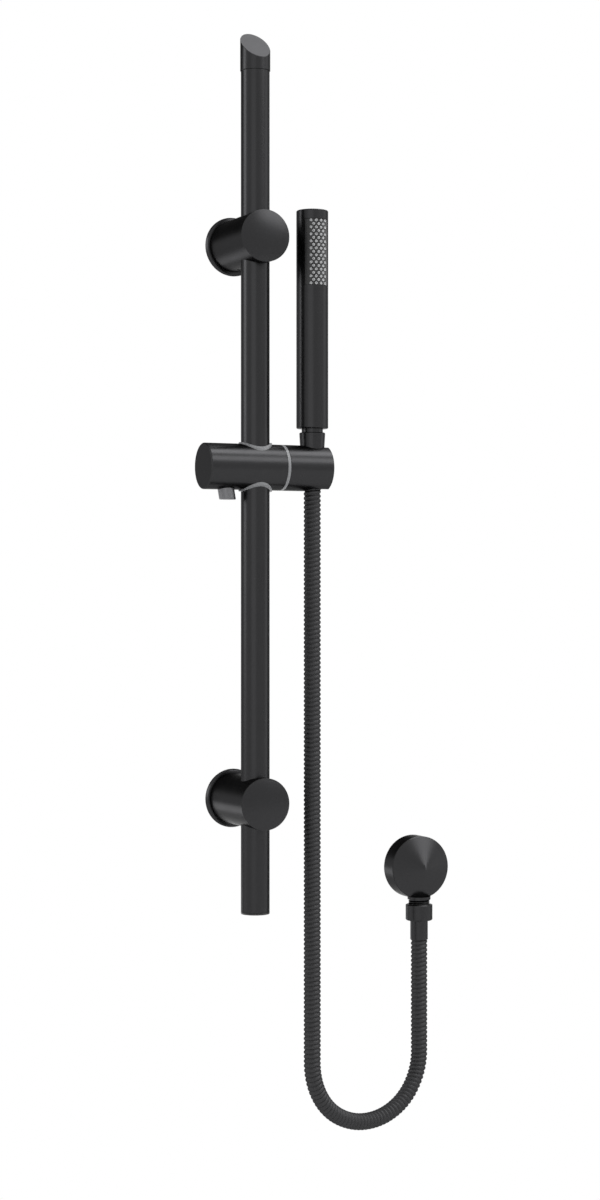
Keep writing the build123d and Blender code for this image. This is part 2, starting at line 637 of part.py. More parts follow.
# Grub screw that keeps the holder on its axle, entered from the wall side
holder_grub_in = SWIVEL_SHAFT_D / 2 - SWIVEL_GROOVE_DEPTH + GRUB_SEAT
holder_grub_out = holder_grub_in + HOLDER_GRUB_LENGTH
with BuildPart() as holder_grub_screw:
    with BuildSketch(
        Plane(origin=(groove_x, -RAIL_OUT + holder_grub_in, SLIDER_Z), x_dir=(1, 0, 0), z_dir=(0, 1, 0))
    ):
        Circle(HOLDER_GRUB_D / 2)
    extrude(amount=HOLDER_GRUB_LENGTH)
    with BuildSketch(
        Plane(origin=(groove_x, -RAIL_OUT + holder_grub_out, SLIDER_Z), x_dir=(1, 0, 0), z_dir=(0, -1, 0))
    ):
        RegularPolygon(HOLDER_GRUB_SOCKET / 2, 6, major_radius=False)
    extrude(amount=HOLDER_GRUB_LENGTH / 2, mode=Mode.SUBTRACT)
holder_grub_screw.part.label = "holder_grub_screw"
export_step(holder_grub_screw.part, "parts/holder_grub_screw.step")

# Hose cone nut, tail and washer at the handset
neck_low = CONE_TOP_Z - NECK_IN_NUT
tail_flange_top = neck_low - WASHER_T
tail_flange_low = tail_flange_top - FLANGE_T
with BuildPart() as hose_cone_nut:
    with BuildSketch(upright(SOCKET_X, -RAIL_OUT)):
        Polygon(
            (TAIL_D / 2 + TAIL_FIT, CONE_BOTTOM_Z),
            (cone_radius(CONE_BOTTOM_Z), CONE_BOTTOM_Z),
            (cone_radius(CONE_TOP_Z - CONE_EDGE), CONE_TOP_Z - CONE_EDGE),
            (cone_radius(CONE_TOP_Z) - CONE_EDGE, CONE_TOP_Z),
            (THREAD_R + THREAD_FIT, CONE_TOP_Z),
            (THREAD_R + THREAD_FIT, tail_flange_low),
            (TAIL_D / 2 + TAIL_FIT, tail_flange_low),
            align=None,
        )
    revolve(axis=socket_axis)
hose_cone_nut.part.label = "hose_cone_nut"
export_step(hose_cone_nut.part, "parts/hose_cone_nut.step")

with BuildPart() as upper_hose_tail:
    with BuildSketch(upright(SOCKET_X, -RAIL_OUT)):
        Polygon(
            (WATERWAY_D / 2, CONE_BOTTOM_Z),
            (TAIL_D / 2, CONE_BOTTOM_Z),
            (TAIL_D / 2, tail_flange_low),
            (FLANGE_R, tail_flange_low),
            (FLANGE_R, tail_flange_top),
            (WATERWAY_D / 2, tail_flange_top),
            align=None,
        )
    revolve(axis=socket_axis)
upper_hose_tail.part.label = "upper_hose_tail"
export_step(upper_hose_tail.part, "parts/upper_hose_tail.step")

with BuildPart() as upper_hose_washer:
    with BuildSketch(Plane(origin=(SOCKET_X, -RAIL_OUT, tail_flange_top))):
        Circle(FLANGE_R)
        Circle(WASHER_BORE / 2, mode=Mode.SUBTRACT)
    extrude(amount=WASHER_T)
upper_hose_washer.part.label = "upper_hose_washer"
export_step(upper_hose_washer.part, "parts/upper_hose_washer.step")

# Hand shower: neck, body, spray plate and nozzle mat
relief_low = CONE_TOP_Z - RELIEF
neck_spigot_r = HANDSET_BORE_R - PRESS_FIT
with BuildPart() as handset_neck:
    with BuildSketch(upright(SOCKET_X, -RAIL_OUT)):
        Polygon(
            (WATERWAY_D / 2, neck_low),
            (THREAD_R, neck_low),
            (THREAD_R, relief_low),
            (NECK_D / 2, relief_low),
            (NECK_D / 2, HANDSET_Z),
            (neck_spigot_r, HANDSET_Z),
            (neck_spigot_r, HANDSET_Z + NECK_IN_BODY),
            (WATERWAY_D / 2, HANDSET_Z + NECK_IN_BODY),
            align=None,
        )
    revolve(axis=socket_axis)
handset_neck.part.label = "handset_neck"
export_step(handset_neck.part, "parts/handset_neck.step")

face_top = HANDSET_TOP_Z - FACE_FROM_TOP
face_low = face_top - FACE_HEIGHT
with BuildPart() as handset_body:
    with BuildSketch(Plane(origin=(SOCKET_X, -RAIL_OUT, HANDSET_Z))):
        Circle(HANDSET_R)
    extrude(amount=HANDSET_LENGTH)
    fillet(handset_body.edges().filter_by(GeomType.CIRCLE), HANDSET_EDGE)
    with BuildSketch(Plane(origin=(SOCKET_X, -RAIL_OUT, HANDSET_Z))):
        Circle(HANDSET_BORE_R)
    extrude(amount=HANDSET_LENGTH - HANDSET_TOP_WALL, mode=Mode.SUBTRACT)
    with BuildSketch(face_start(FACE_HALF_ANGLE)):
        with Locations((HANDSET_R, (face_low + face_top) / 2)):
            Rectangle(2 * (HANDSET_WALL + CUT_ROOM), FACE_HEIGHT)
    revolve(axis=socket_axis, revolution_arc=2 * FACE_HALF_ANGLE, mode=Mode.SUBTRACT)
handset_body.part.label = "handset_body"
export_step(handset_body.part, "parts/handset_body.step")

nozzles = []
for row in range(NOZZLE_ROWS):
    row_z = (face_low + face_top) / 2 + (row - (NOZZLE_ROWS - 1) / 2) * NOZZLE_PITCH
    columns = (-1.5, -0.5, 0.5, 1.5) if row % 2 == 0 else (-1, 0, 1)
    for column in columns:
        nozzles.append((column * NOZZLE_ANGLE, row_z))

plate_r = HANDSET_R - FACE_SINK
gap_angle = degrees(FACE_GAP / HANDSET_R)
plate_half = FACE_HALF_ANGLE - gap_angle
with BuildPart() as spray_plate:
    with BuildSketch(face_start(plate_half)):
        with Locations((plate_r - FACE_T / 2, (face_low + face_top) / 2)):
            Rectangle(FACE_T, FACE_HEIGHT - 2 * FACE_GAP)
    revolve(axis=socket_axis, revolution_arc=2 * plate_half)
    with BuildSketch(*[on_face(angle, z, HANDSET_R / 2) for angle, z in nozzles]):
        Circle(NOZZLE_D / 2 + NOZZLE_FIT)
    extrude(amount=HANDSET_R, mode=Mode.SUBTRACT)
spray_plate.part.label = "spray_plate"
export_step(spray_plate.part, "parts/spray_plate.step")

mat_r = plate_r - FACE_T
mat_half = plate_half - MAT_MARGIN
nozzle_root = mat_r - MAT_T / 2
with BuildPart() as nozzle_mat:
    with BuildSketch(face_start(mat_half)):
        with Locations((mat_r - MAT_T / 2, (face_low + face_top) / 2)):
            Rectangle(MAT_T, FACE_HEIGHT - 4 * FACE_GAP)
    revolve(axis=socket_axis, revolution_arc=2 * mat_half)
    with BuildSketch(*[on_face(angle, z, nozzle_root) for angle, z in nozzles]):
        Circle(NOZZLE_D / 2)
    extrude(amount=plate_r + NOZZLE_PROUD - nozzle_root)
nozzle_mat.part.label = "nozzle_mat"
export_step(nozzle_mat.part, "parts/nozzle_mat.step")

# Wall outlet: turned body with a shallow cone face
seat_z = OUTLET_Z - CONNECTOR_SEAT
outlet_profile = Plane(origin=(OUTLET_X, 0, OUTLET_Z), x_dir=(0, -1, 0), z_dir=(-1, 0, 0))
with BuildPart() as outlet_body:
    with BuildSketch(outlet_profile):
        Polygon(
            (0, 0),
            (0, OUTLET_D / 2),
            (OUTLET_RIM - OUTLET_EDGE, OUTLET_D / 2),
            (OUTLET_RIM, OUTLET_D / 2 - OUTLET_EDGE),
            (OUTLET_RIM + OUTLET_CONE, 0),
            align=None,
        )
    revolve(axis=outlet_axis)
    with BuildSketch(from_wall(0, x=OUTLET_X, z=OUTLET_Z)):
        Circle(GASKET_OUTER_D / 2)
        Circle(GASKET_OUTER_D / 2 - GASKET_W, mode=Mode.SUBTRACT)
    extrude(amount=GASKET_T, mode=Mode.SUBTRACT)
    with BuildSketch(from_wall(0, x=OUTLET_X, z=OUTLET_Z)):
        Circle(THREAD_R + THREAD_FIT)
    extrude(amount=INLET_IN + DEPTH_ROOM, mode=Mode.SUBTRACT)
    with BuildSketch(from_wall(0, x=OUTLET_X, z=OUTLET_Z)):
        Circle(WATERWAY_D / 2)
    extrude(amount=DROP_OUT, mode=Mode.SUBTRACT)
    with BuildSketch(Plane(origin=(OUTLET_X, -DROP_OUT, seat_z))):
        Circle(CONNECTOR_COLLAR_D / 2 + COLLAR_FIT)
    extrude(amount=-CONNECTOR_COLLAR_H, mode=Mode.SUBTRACT)
    with BuildSketch(Plane(origin=(OUTLET_X, -OUTLET_WAY_OUT, seat_z))):
        Circle(OUTLET_WAY_D / 2)
    extrude(amount=CONNECTOR_SEAT, mode=Mode.SUBTRACT)
outlet_body.part.label = "outlet_body"
export_step(outlet_body.part, "parts/outlet_body.step")

with BuildPart() as wall_gasket:
    with BuildSketch(from_wall(0, x=OUTLET_X, z=OUTLET_Z)):
        Circle(GASKET_OUTER_D / 2 - GASKET_FIT)
        Circle(GASKET_OUTER_D / 2 - GASKET_W + GASKET_FIT, mode=Mode.SUBTRACT)
    extrude(amount=GASKET_T)
wall_gasket.part.label = "wall_gasket"
export_step(wall_gasket.part, "parts/wall_gasket.step")

with BuildPart() as inlet_nipple:
    with BuildSketch(from_wall(0, x=OUTLET_X, z=OUTLET_Z)):
        Circle(THREAD_R)
    extrude(amount=INLET_IN)
    with BuildSketch(from_wall(-INLET_OUT, x=OUTLET_X, z=OUTLET_Z)):
        Circle(INLET_THREAD_D / 2)
    extrude(amount=INLET_OUT)
    chamfer(inlet_nipple.faces().sort_by(Axis.Y)[-1].edges(), EDGE_SCREW)
    with BuildSketch(from_wall(-INLET_OUT, x=OUTLET_X, z=OUTLET_Z)):
        Circle(INLET_BORE_D / 2)
    extrude(amount=INLET_OUT + INLET_IN, mode=Mode.SUBTRACT)
inlet_nipple.part.label = "inlet_nipple"
export_step(inlet_nipple.part, "parts/inlet_nipple.step")

connector_low = seat_z - CONNECTOR_COLLAR_H - CONNECTOR_THREAD
with BuildPart() as outlet_connector:
    with BuildSketch(upright(OUTLET_X, -DROP_OUT)):
        Polygon(
            (CONNECTOR_BORE_D / 2, connector_low),
            (THREAD_R - THREAD_EDGE, connector_low),
            (THREAD_R, connector_low + THREAD_EDGE),
            (THREAD_R, seat_z - CONNECTOR_COLLAR_H),
            (CONNECTOR_COLLAR_D / 2, seat_z - CONNECTOR_COLLAR_H),
            (CONNECTOR_COLLAR_D / 2, seat_z),
            (0, seat_z),
            (0, connector_low + VALVE_LENGTH),
            (CONNECTOR_BORE_D / 2, connector_low + VALVE_LENGTH),
            align=None,
        )
    revolve(axis=drop_axis)
    with BuildSketch(Plane(origin=(OUTLET_X, -OUTLET_WAY_OUT, seat_z))):
        Circle(OUTLET_WAY_D / 2)
    extrude(amount=connector_low + VALVE_LENGTH - seat_z, mode=Mode.SUBTRACT)
outlet_connector.part.label = "outlet_connector"
export_step(outlet_connector.part, "parts/outlet_connector.step")

# Non-return valve: barrel with a tapered seat
valve_r = CONNECTOR_BORE_D / 2 - PRESS_FIT
valve_top = connector_low + VALVE_LENGTH
with BuildPart() as check_valve:
    with BuildSketch(upright(OUTLET_X, -DROP_OUT)):
        Polygon(
            (valve_r - VALVE_WALL, connector_low),
            (valve_r, connector_low),
            (valve_r, valve_top),
            (valve_r - VALVE_SEAT, valve_top),
            (valve_r - VALVE_SEAT, valve_top - VALVE_STEPS[0]),
            (valve_r - VALVE_WALL, valve_top - VALVE_STEPS[1]),
            align=None,
        )
    revolve(axis=drop_axis)
check_valve.part.label = "check_valve"
export_step(check_valve.part, "parts/check_valve.step")

# Lower hose nut, washer and ferrule
lower_nut_z = OUTLET_Z - LOWER_NUT_TOP
lower_nut_low = lower_nut_z - LOWER_NUT_H
nut_floor = lower_nut_low + LOWER_NUT_FLOOR
lower_flange_top = nut_floor + FLANGE_T
with BuildPart() as lower_hose_nut:
    with BuildSketch(upright(OUTLET_X, -DROP_OUT)):
        Polygon(
            (FERRULE_D / 2 + FERRULE_FIT, lower_nut_low),
            (LOWER_NUT_D / 2 - LOWER_NUT_EDGE, lower_nut_low),
            (LOWER_NUT_D / 2, lower_nut_low + LOWER_NUT_EDGE),
            (LOWER_NUT_D / 2, lower_nut_z - LOWER_NUT_EDGE / 2),
            (LOWER_NUT_D / 2 - LOWER_NUT_EDGE / 2, lower_nut_z),
            (THREAD_R + THREAD_FIT, lower_nut_z),
            (THREAD_R + THREAD_FIT, nut_floor),
            (FERRULE_D / 2 + FERRULE_FIT, nut_floor),
            align=None,
        )
    revolve(axis=drop_axis)
lower_hose_nut.part.label = "lower_hose_nut"
export_step(lower_hose_nut.part, "parts/lower_hose_nut.step")

with BuildPart() as lower_hose_washer:
    with BuildSketch(Plane(origin=(OUTLET_X, -DROP_OUT, lower_flange_top))):
        Circle(FLANGE_R)
        Circle(WASHER_BORE / 2, mode=Mode.SUBTRACT)
    extrude(amount=connector_low - lower_flange_top)
lower_hose_washer.part.label = "lower_hose_washer"
export_step(lower_hose_washer.part, "parts/lower_hose_washer.step")

ferrule_low = lower_nut_low - FERRULE_SHOWN
with BuildPart() as lower_hose_ferrule:
    with BuildSketch(upright(OUTLET_X, -DROP_OUT)):
        Polygon(
            (WATERWAY_D / 2, ferrule_low),
            (FERRULE_D / 2, ferrule_low),
            (FERRULE_D / 2, nut_floor),
            (FLANGE_R, nut_floor),
            (FLANGE_R, lower_flange_top),
            (WATERWAY_D / 2, lower_flange_top),
            align=None,
        )
    revolve(axis=drop_axis)
lower_hose_ferrule.part.label = "lower_hose_ferrule"
export_step(lower_hose_ferrule.part, "parts/lower_hose_ferrule.step")

# Hose: hangs straight from the cone nut, turns in one loop and rises straight to the ferrule
hose_route = [
    (SOCKET_X, -RAIL_OUT, CONE_BOTTOM_Z),
    (SOCKET_X, -RAIL_OUT, -247.0),
    (71.5, -46.0, -275.5),
    (102.0, -37.0, -291.2),
    (135.5, -27.2, -291.2),
    (163.3, -19.1, -277.0),
    (OUTLET_X, -DROP_OUT, -251.0),
    (OUTLET_X, -DROP_OUT, ferrule_low),
]


def arc_radii(route):
    """Arc radius at each corner: 0.45 of the shorter run over the tangent of half the turn."""
    corners = [Vector(*point) for point in route]
    radii = []
    for before, at, after in zip(corners, corners[1:], corners[2:]):
        run_in = at - before
        run_out = after - at
        half_turn = radians(run_in.get_angle(run_out)) / 2
        radii.append(0.45 * min(run_in.length, run_out.length) / tan(half_turn))
    return radii


hose_radii = arc_radii(hose_route)
with BuildPart() as hose:
    with BuildLine() as hose_path:
        FilletPolyline(*hose_route, radius=hose_radii)
    with BuildSketch(Plane(origin=hose_path.line @ 0, z_dir=hose_path.line % 0)):
        Circle(HOSE_D / 2)
    sweep()
hose.part.label = "hose"
export_step(hose.part, "parts/hose.step")

hose_length = sum(edge.length for edge in hose_path.edges())
hose_expected = hose_length * pi * (HOSE_D / 2) ** 2
print("hose radii", [round(radius, 1) for radius in hose_radii])
print("hose length", round(hose_length, 1), "volume share", round(hose.part.volume / hose_expected, 5))
print("shoe ratio", round(SHOE_RATIO, 5), "shoe retreat", round(shoe_retreat, 3))
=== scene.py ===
"""Dresses the shower slide rail: studio, finishes, ribbed hose and the pieces with fine relief.

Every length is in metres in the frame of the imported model: X runs right along the wall, +Y points
into the wall and Z is up. The origin is the centre of the lower bracket's wall face.
"""

import logging
import math
from bisect import bisect_right
from dataclasses import dataclass
from enum import Enum
from typing import Any

import bmesh
import bpy
from mathutils import Matrix, Vector


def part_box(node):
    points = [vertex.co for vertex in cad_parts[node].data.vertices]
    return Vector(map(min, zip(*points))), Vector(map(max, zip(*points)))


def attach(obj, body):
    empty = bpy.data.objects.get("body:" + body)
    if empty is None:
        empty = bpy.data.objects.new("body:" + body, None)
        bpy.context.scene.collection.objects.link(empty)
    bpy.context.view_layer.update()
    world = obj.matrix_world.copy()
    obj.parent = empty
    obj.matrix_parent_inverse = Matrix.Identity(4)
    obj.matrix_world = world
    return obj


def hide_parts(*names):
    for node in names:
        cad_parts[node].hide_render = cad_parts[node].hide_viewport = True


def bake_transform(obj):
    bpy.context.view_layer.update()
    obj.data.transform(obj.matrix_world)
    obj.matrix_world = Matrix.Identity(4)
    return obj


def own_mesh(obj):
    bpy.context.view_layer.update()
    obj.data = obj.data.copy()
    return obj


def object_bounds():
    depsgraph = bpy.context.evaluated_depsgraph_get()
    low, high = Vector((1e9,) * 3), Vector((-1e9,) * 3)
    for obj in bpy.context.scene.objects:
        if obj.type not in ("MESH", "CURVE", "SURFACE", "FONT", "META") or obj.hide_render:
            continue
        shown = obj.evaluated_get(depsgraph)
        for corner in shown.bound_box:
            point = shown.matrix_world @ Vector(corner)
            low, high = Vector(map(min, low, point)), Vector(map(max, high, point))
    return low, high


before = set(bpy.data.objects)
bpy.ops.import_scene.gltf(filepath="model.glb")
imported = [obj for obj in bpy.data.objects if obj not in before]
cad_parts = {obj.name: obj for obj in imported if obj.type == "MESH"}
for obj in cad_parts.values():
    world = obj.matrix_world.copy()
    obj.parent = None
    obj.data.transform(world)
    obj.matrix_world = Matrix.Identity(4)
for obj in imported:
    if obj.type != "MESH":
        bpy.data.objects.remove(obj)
cad_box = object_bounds()

MM = 0.001
LOG = logging.getLogger("slide_rail")

# Noise detail of a finish's grain, and of the slow change of gloss, as wide as a fingertip
GRAIN_DETAIL = 2.0
CLOUD_DETAIL = 3.0
CLOUD_MM = 18.0
# Crease angle above which an edge is shaded sharp
CREASE = math.radians(32)
# Watts for each square metre of an area light whose brightness is 1
AREA_LIGHT_FACTOR = 4.0
# Thread section: half its width as a share of the pitch, and faces in a turn
THREAD_FLANK = 0.42
THREAD_STEPS = 40
# Distance under which points of the hose's mesh are one, and the margin kept at the ends of a
# stretch's path
WELD = 1e-6


class Body(Enum):
    """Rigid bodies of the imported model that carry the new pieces."""

    RAIL = "rail"
    SLIDER = "slider"
    HOLDER = "holder"


def linear(colour: str) -> tuple[float, float, float, float]:
    """Turn an sRGB hex colour into linear RGBA.

    Args:
        colour: Colour such as "#1a2b3c".

    Returns:
        Linear red, green, blue and an alpha of one.
    """
    parts = [int(colour[i : i + 2], 16) / 255 for i in (1, 3, 5)]
    red, green, blue = (p / 12.92 if p <= 0.04045 else ((p + 0.055) / 1.055) ** 2.4 for p in parts)
    return red, green, blue, 1.0


def add_node(
    tree: bpy.types.NodeTree,
    kind: str,
    settings: dict[str, Any] | None = None,
    values: dict[str | int, Any] | None = None,
    links: dict[str | int, bpy.types.NodeSocket] | None = None,
) -> bpy.types.Node:
    """Add a shader node with its settings, socket values and links.

    Args:
        tree: Node tree that takes the node.
        kind: Node type, such as "ShaderNodeTexNoise".
        settings: Node properties by name.
        values: Constant values by input socket.
        links: Output sockets by the input socket that they feed.

    Returns:
        The new node.
    """
    made = tree.nodes.new(kind)
    for name, value in (settings or {}).items():
        setattr(made, name, value)
    for socket, value in (values or {}).items():
        made.inputs[socket].default_value = value
    for socket, source in (links or {}).items():
        tree.links.new(source, made.inputs[socket])
    return made


@dataclass(frozen=True)
class Finish:
    """A surface finish: a base colour with a fine grain that varies its gloss and relief."""

    name: str
    colour: str
    roughness: float
    metallic: float = 0.0
    ior: float = 1.5
    edge_tint: float = 1.0
    grain_mm: float = 1.2
    gloss_spread: float = 0.05
    relief_mm: float = 0.004
    shade_spread: float = 0.08
    stretch: tuple[float, float, float] = (1.0, 1.0, 1.0)

    def build(self) -> bpy.types.Material:
        """Make the material.

        Returns:
            A node material that reads Object coordinates.
        """
        material = bpy.data.materials.new(self.name)
        material.use_nodes = True
        tree = material.node_tree
        shader = tree.nodes["Principled BSDF"]
        shader.inputs["Metallic"].default_value = self.metallic
        shader.inputs["IOR"].default_value = self.ior
        shader.inputs["Specular Tint"].default_value = (*[self.edge_tint] * 3, 1.0)
        place = add_node(tree, "ShaderNodeTexCoord")
        scaled = add_node(
            tree,
            "ShaderNodeMapping",
            values={"Scale": self.stretch},
            links={"Vector": place.outputs["Object"]},
        )
        grain = add_node(
            tree,
            "ShaderNodeTexNoise",
            values={"Scale": 1 / (self.grain_mm * MM), "Detail": GRAIN_DETAIL},
            links={"Vector": scaled.outputs["Vector"]},
        )
        cloud = add_node(
            tree,
            "ShaderNodeTexNoise",
            values={"Scale": 1 / (CLOUD_MM * MM), "Detail": CLOUD_DETAIL},
            links={"Vector": scaled.outputs["Vector"]},
        )
        gloss = add_node(
            tree,
            "ShaderNodeMapRange",
            values={
                "To Min": self.roughness - self.gloss_spread,
                "To Max": self.roughness + self.gloss_spread,
            },
            links={"Value": cloud.outputs["Fac"]},
        )
        tree.links.new(gloss.outputs["Result"], shader.inputs["Roughness"])
        base = linear(self.colour)
        low = [c * (1 - self.shade_spread) for c in base[:3]] + [1.0]
        high = [c * (1 + self.shade_spread) for c in base[:3]] + [1.0]
        shade = add_node(
            tree,
            "ShaderNodeMix",
            settings={"data_type": "RGBA"},
            values={6: low, 7: high},
            links={0: grain.outputs["Fac"]},
        )
        tree.links.new(shade.outputs[2], shader.inputs["Base Color"])
        bump = add_node(
            tree,
            "ShaderNodeBump",
            values={"Strength": 1.0, "Distance": self.relief_mm * MM},
            links={"Height": grain.outputs["Fac"]},
        )
        tree.links.new(bump.outputs["Normal"], shader.inputs["Normal"])
        return material


# Satin black plating on turned brass: a dark metal film with soft clear reflections, which stays
# dark where it is seen at a slant. Its grain is under 0.1 mm and is drawn coarser, so it shows.
SATIN_BLACK = Finish("satin_black_plating", "#333334", 0.29, metallic=1.0, edge_tint=0.49)
# The same plating on the wound hose strip: duller, because its folds scatter what they reflect.
HOSE_BLACK = Finish(
    "black_plated_hose_strip", "#3c3c3d", 0.56, metallic=1.0, edge_tint=0.49, relief_mm=0.006
)
# Moulded black ABS of the spray plate, valve and shoe: same tone, finer texture, less gloss.
BLACK_ABS = Finish("moulded_black_abs", "#151516", 0.45, grain_mm=0.8, relief_mm=0.008)
# Moulded grey acetal of the rail liner and the rings: mid grey, smooth and slightly waxy.
GREY_ACETAL = Finish("moulded_grey_acetal", "#737476", 0.42, grain_mm=0.9, shade_spread=0.05)
# Turned stainless steel of the release button, blasted to a grey satin.
BLASTED_STEEL = Finish(
    "blasted_stainless_steel", "#69696b", 0.38, metallic=0.85, grain_mm=0.7, relief_mm=0.01
)
# Zinc plated steel of screws, clip and spring: bright with a cool cast.
ZINC_STEEL = Finish("zinc_plated_steel", "#a9acb0", 0.3, metallic=1.0, grain_mm=0.6)
# Raw machined brass of the wall bosses and the supply nipple.
RAW_BRASS = Finish(
    "machined_brass", "#b8954f", 0.32, metallic=1.0, grain_mm=0.8, stretch=(1.0, 6.0, 1.0)
)
# Soft grey silicone of the nozzles: dull, with little change of shade.
GREY_SILICONE = Finish(
    "grey_silicone_rubber", "#a2a3a4", 0.55, ior=1.43, grain_mm=0.5, shade_spread=0.04
)
# Black EPDM seals, dull.
SEAL_RUBBER = Finish("black_epdm_rubber", "#161616", 0.75, grain_mm=0.7, relief_mm=0.01)


def deselect() -> None:
    """Leave nothing selected before a new primitive is added."""
    bpy.ops.object.select_all(action="DESELECT")


def lathe(
    name: str, origin: Vector, profile: list[tuple[float, float]], segments: int
) -> bpy.types.Object:
    """Turn a closed ring profile about Z by extruding and scaling a circle, step by step.

    Args:
        name: Name of the new object.
        origin: Point on the turning axis that heights count from.
        profile: Radius and height of each ring, in order round the section.
        segments: Faces round the piece.

    Returns:
        The turned piece, its last ring joined to its first.
    """
    deselect()
    first_radius, first_height = profile[0]
    start = origin + Vector((0, 0, first_height))
    bpy.ops.mesh.primitive_circle_add(vertices=segments, radius=first_radius, location=start)
    piece = bpy.context.active_object
    piece.name = piece.data.name = name
    bpy.ops.object.transform_apply(location=True)
    bpy.ops.object.mode_set(mode="EDIT")
    bpy.ops.mesh.select_all(action="SELECT")
    radius, height = first_radius, first_height
    for next_radius, next_height in profile[1:]:
        rise = (0, 0, next_height - height)
        bpy.ops.mesh.extrude_region_move(TRANSFORM_OT_translate={"value": rise})
        ratio = next_radius / radius
        centre = origin + Vector((0, 0, next_height))
        bpy.ops.transform.resize(value=(ratio, ratio, 1), center_override=centre)
        radius, height = next_radius, next_height
    bpy.ops.mesh.select_all(action="DESELECT")
    bpy.ops.mesh.select_non_manifold()
    bpy.ops.mesh.bridge_edge_loops()
    bpy.ops.mesh.select_all(action="SELECT")
    bpy.ops.mesh.normals_make_consistent(inside=False)
    bpy.ops.object.mode_set(mode="OBJECT")
    return piece


def close_ends() -> None:
    """Cap the open ends of the active piece and turn its faces outward."""
    bpy.ops.object.mode_set(mode="EDIT")
    bpy.ops.mesh.select_all(action="DESELECT")
    bpy.ops.mesh.select_non_manifold()
    bpy.ops.mesh.fill_holes(sides=0)
    bpy.ops.mesh.select_all(action="SELECT")
    bpy.ops.mesh.normals_make_consistent(inside=False)
    bpy.ops.object.mode_set(mode="OBJECT")


def thread_ridge(
    name: str, origin: Vector, crest_radius: float, pitch: float, turns: int, depth: float
) -> bpy.types.Object:
    """Screw a small triangle about Z into a thread ridge, and cap its two ends.

    Args:
        name: Name of the new object.
        origin: Point on the axis at the foot of the thread.
        crest_radius: Radius over the crests.
        pitch: Rise in one turn.
        turns: Whole turns.
        depth: Height of the crest over the root.

    Returns:
        The ridge as a closed mesh.
    """
    deselect()
    root = crest_radius - depth
    half = pitch * THREAD_FLANK
    bpy.ops.mesh.primitive_circle_add(vertices=3, radius=depth)
    ridge = bpy.context.active_object
    ridge.name = ridge.data.name = name
    corners = (Vector((root, 0, -half)), Vector((crest_radius, 0, 0)), Vector((root, 0, half)))
    for vertex, corner in zip(ridge.data.vertices, corners):
        vertex.co = corner
    screw = ridge.modifiers.new("thread", "SCREW")
    screw.axis = "Z"
    screw.screw_offset = pitch
    screw.iterations = turns
    screw.steps = screw.render_steps = THREAD_STEPS
    screw.use_merge_vertices = True
    bpy.ops.object.modifier_apply(modifier=screw.name)
    close_ends()
    ridge.data.transform(Matrix.Translation(origin))
    return ridge


def join(parts: list[bpy.types.Object], name: str) -> bpy.types.Object:
    """Join parts into one object.

    Args:
        parts: Mesh objects, the first of which takes the others in.
        name: Name of the result.

    Returns:
        The joined object.
    """
    deselect()
    for part in parts:
        part.select_set(True)
    bpy.context.view_layer.objects.active = parts[0]
    bpy.ops.object.join()
    whole = bpy.context.view_layer.objects.active
    whole.name = whole.data.name = name
    return whole


def finish_piece(
    piece: bpy.types.Object, finish: Finish, body: Body | None, replaces: tuple[str, ...]
) -> None:
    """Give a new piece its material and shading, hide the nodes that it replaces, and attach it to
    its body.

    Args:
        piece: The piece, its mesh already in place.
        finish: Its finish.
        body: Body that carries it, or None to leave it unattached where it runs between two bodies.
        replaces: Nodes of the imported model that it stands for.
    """
    piece.data.materials.clear()
    piece.data.materials.append(material_of(finish))
    deselect()
    piece.select_set(True)
    bpy.context.view_layer.objects.active = piece
    bpy.ops.object.shade_smooth_by_angle(angle=CREASE)
    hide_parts(*replaces)
    if body is not None:
        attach(piece, body.value)
    LOG.info("%s: %d faces", piece.name, len(piece.data.polygons))


MATERIALS: dict[str, bpy.types.Material] = {}


def material_of(finish: Finish) -> bpy.types.Material:
    """Look up a finish's material, which is made once.

    Args:
        finish: The finish.

    Returns:
        Its material.
    """
    if finish.name not in MATERIALS:
        MATERIALS[finish.name] = finish.build()
    return MATERIALS[finish.name]


def dress(finish: Finish, *nodes: str) -> None:
    """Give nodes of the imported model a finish.

    Args:
        finish: The finish.
        nodes: Names of the nodes.
    """
    for name in nodes:
        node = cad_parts[name]
        for slot in node.material_slots:
            slot.material = material_of(finish)
        LOG.info("%s: %s", name, finish.name)


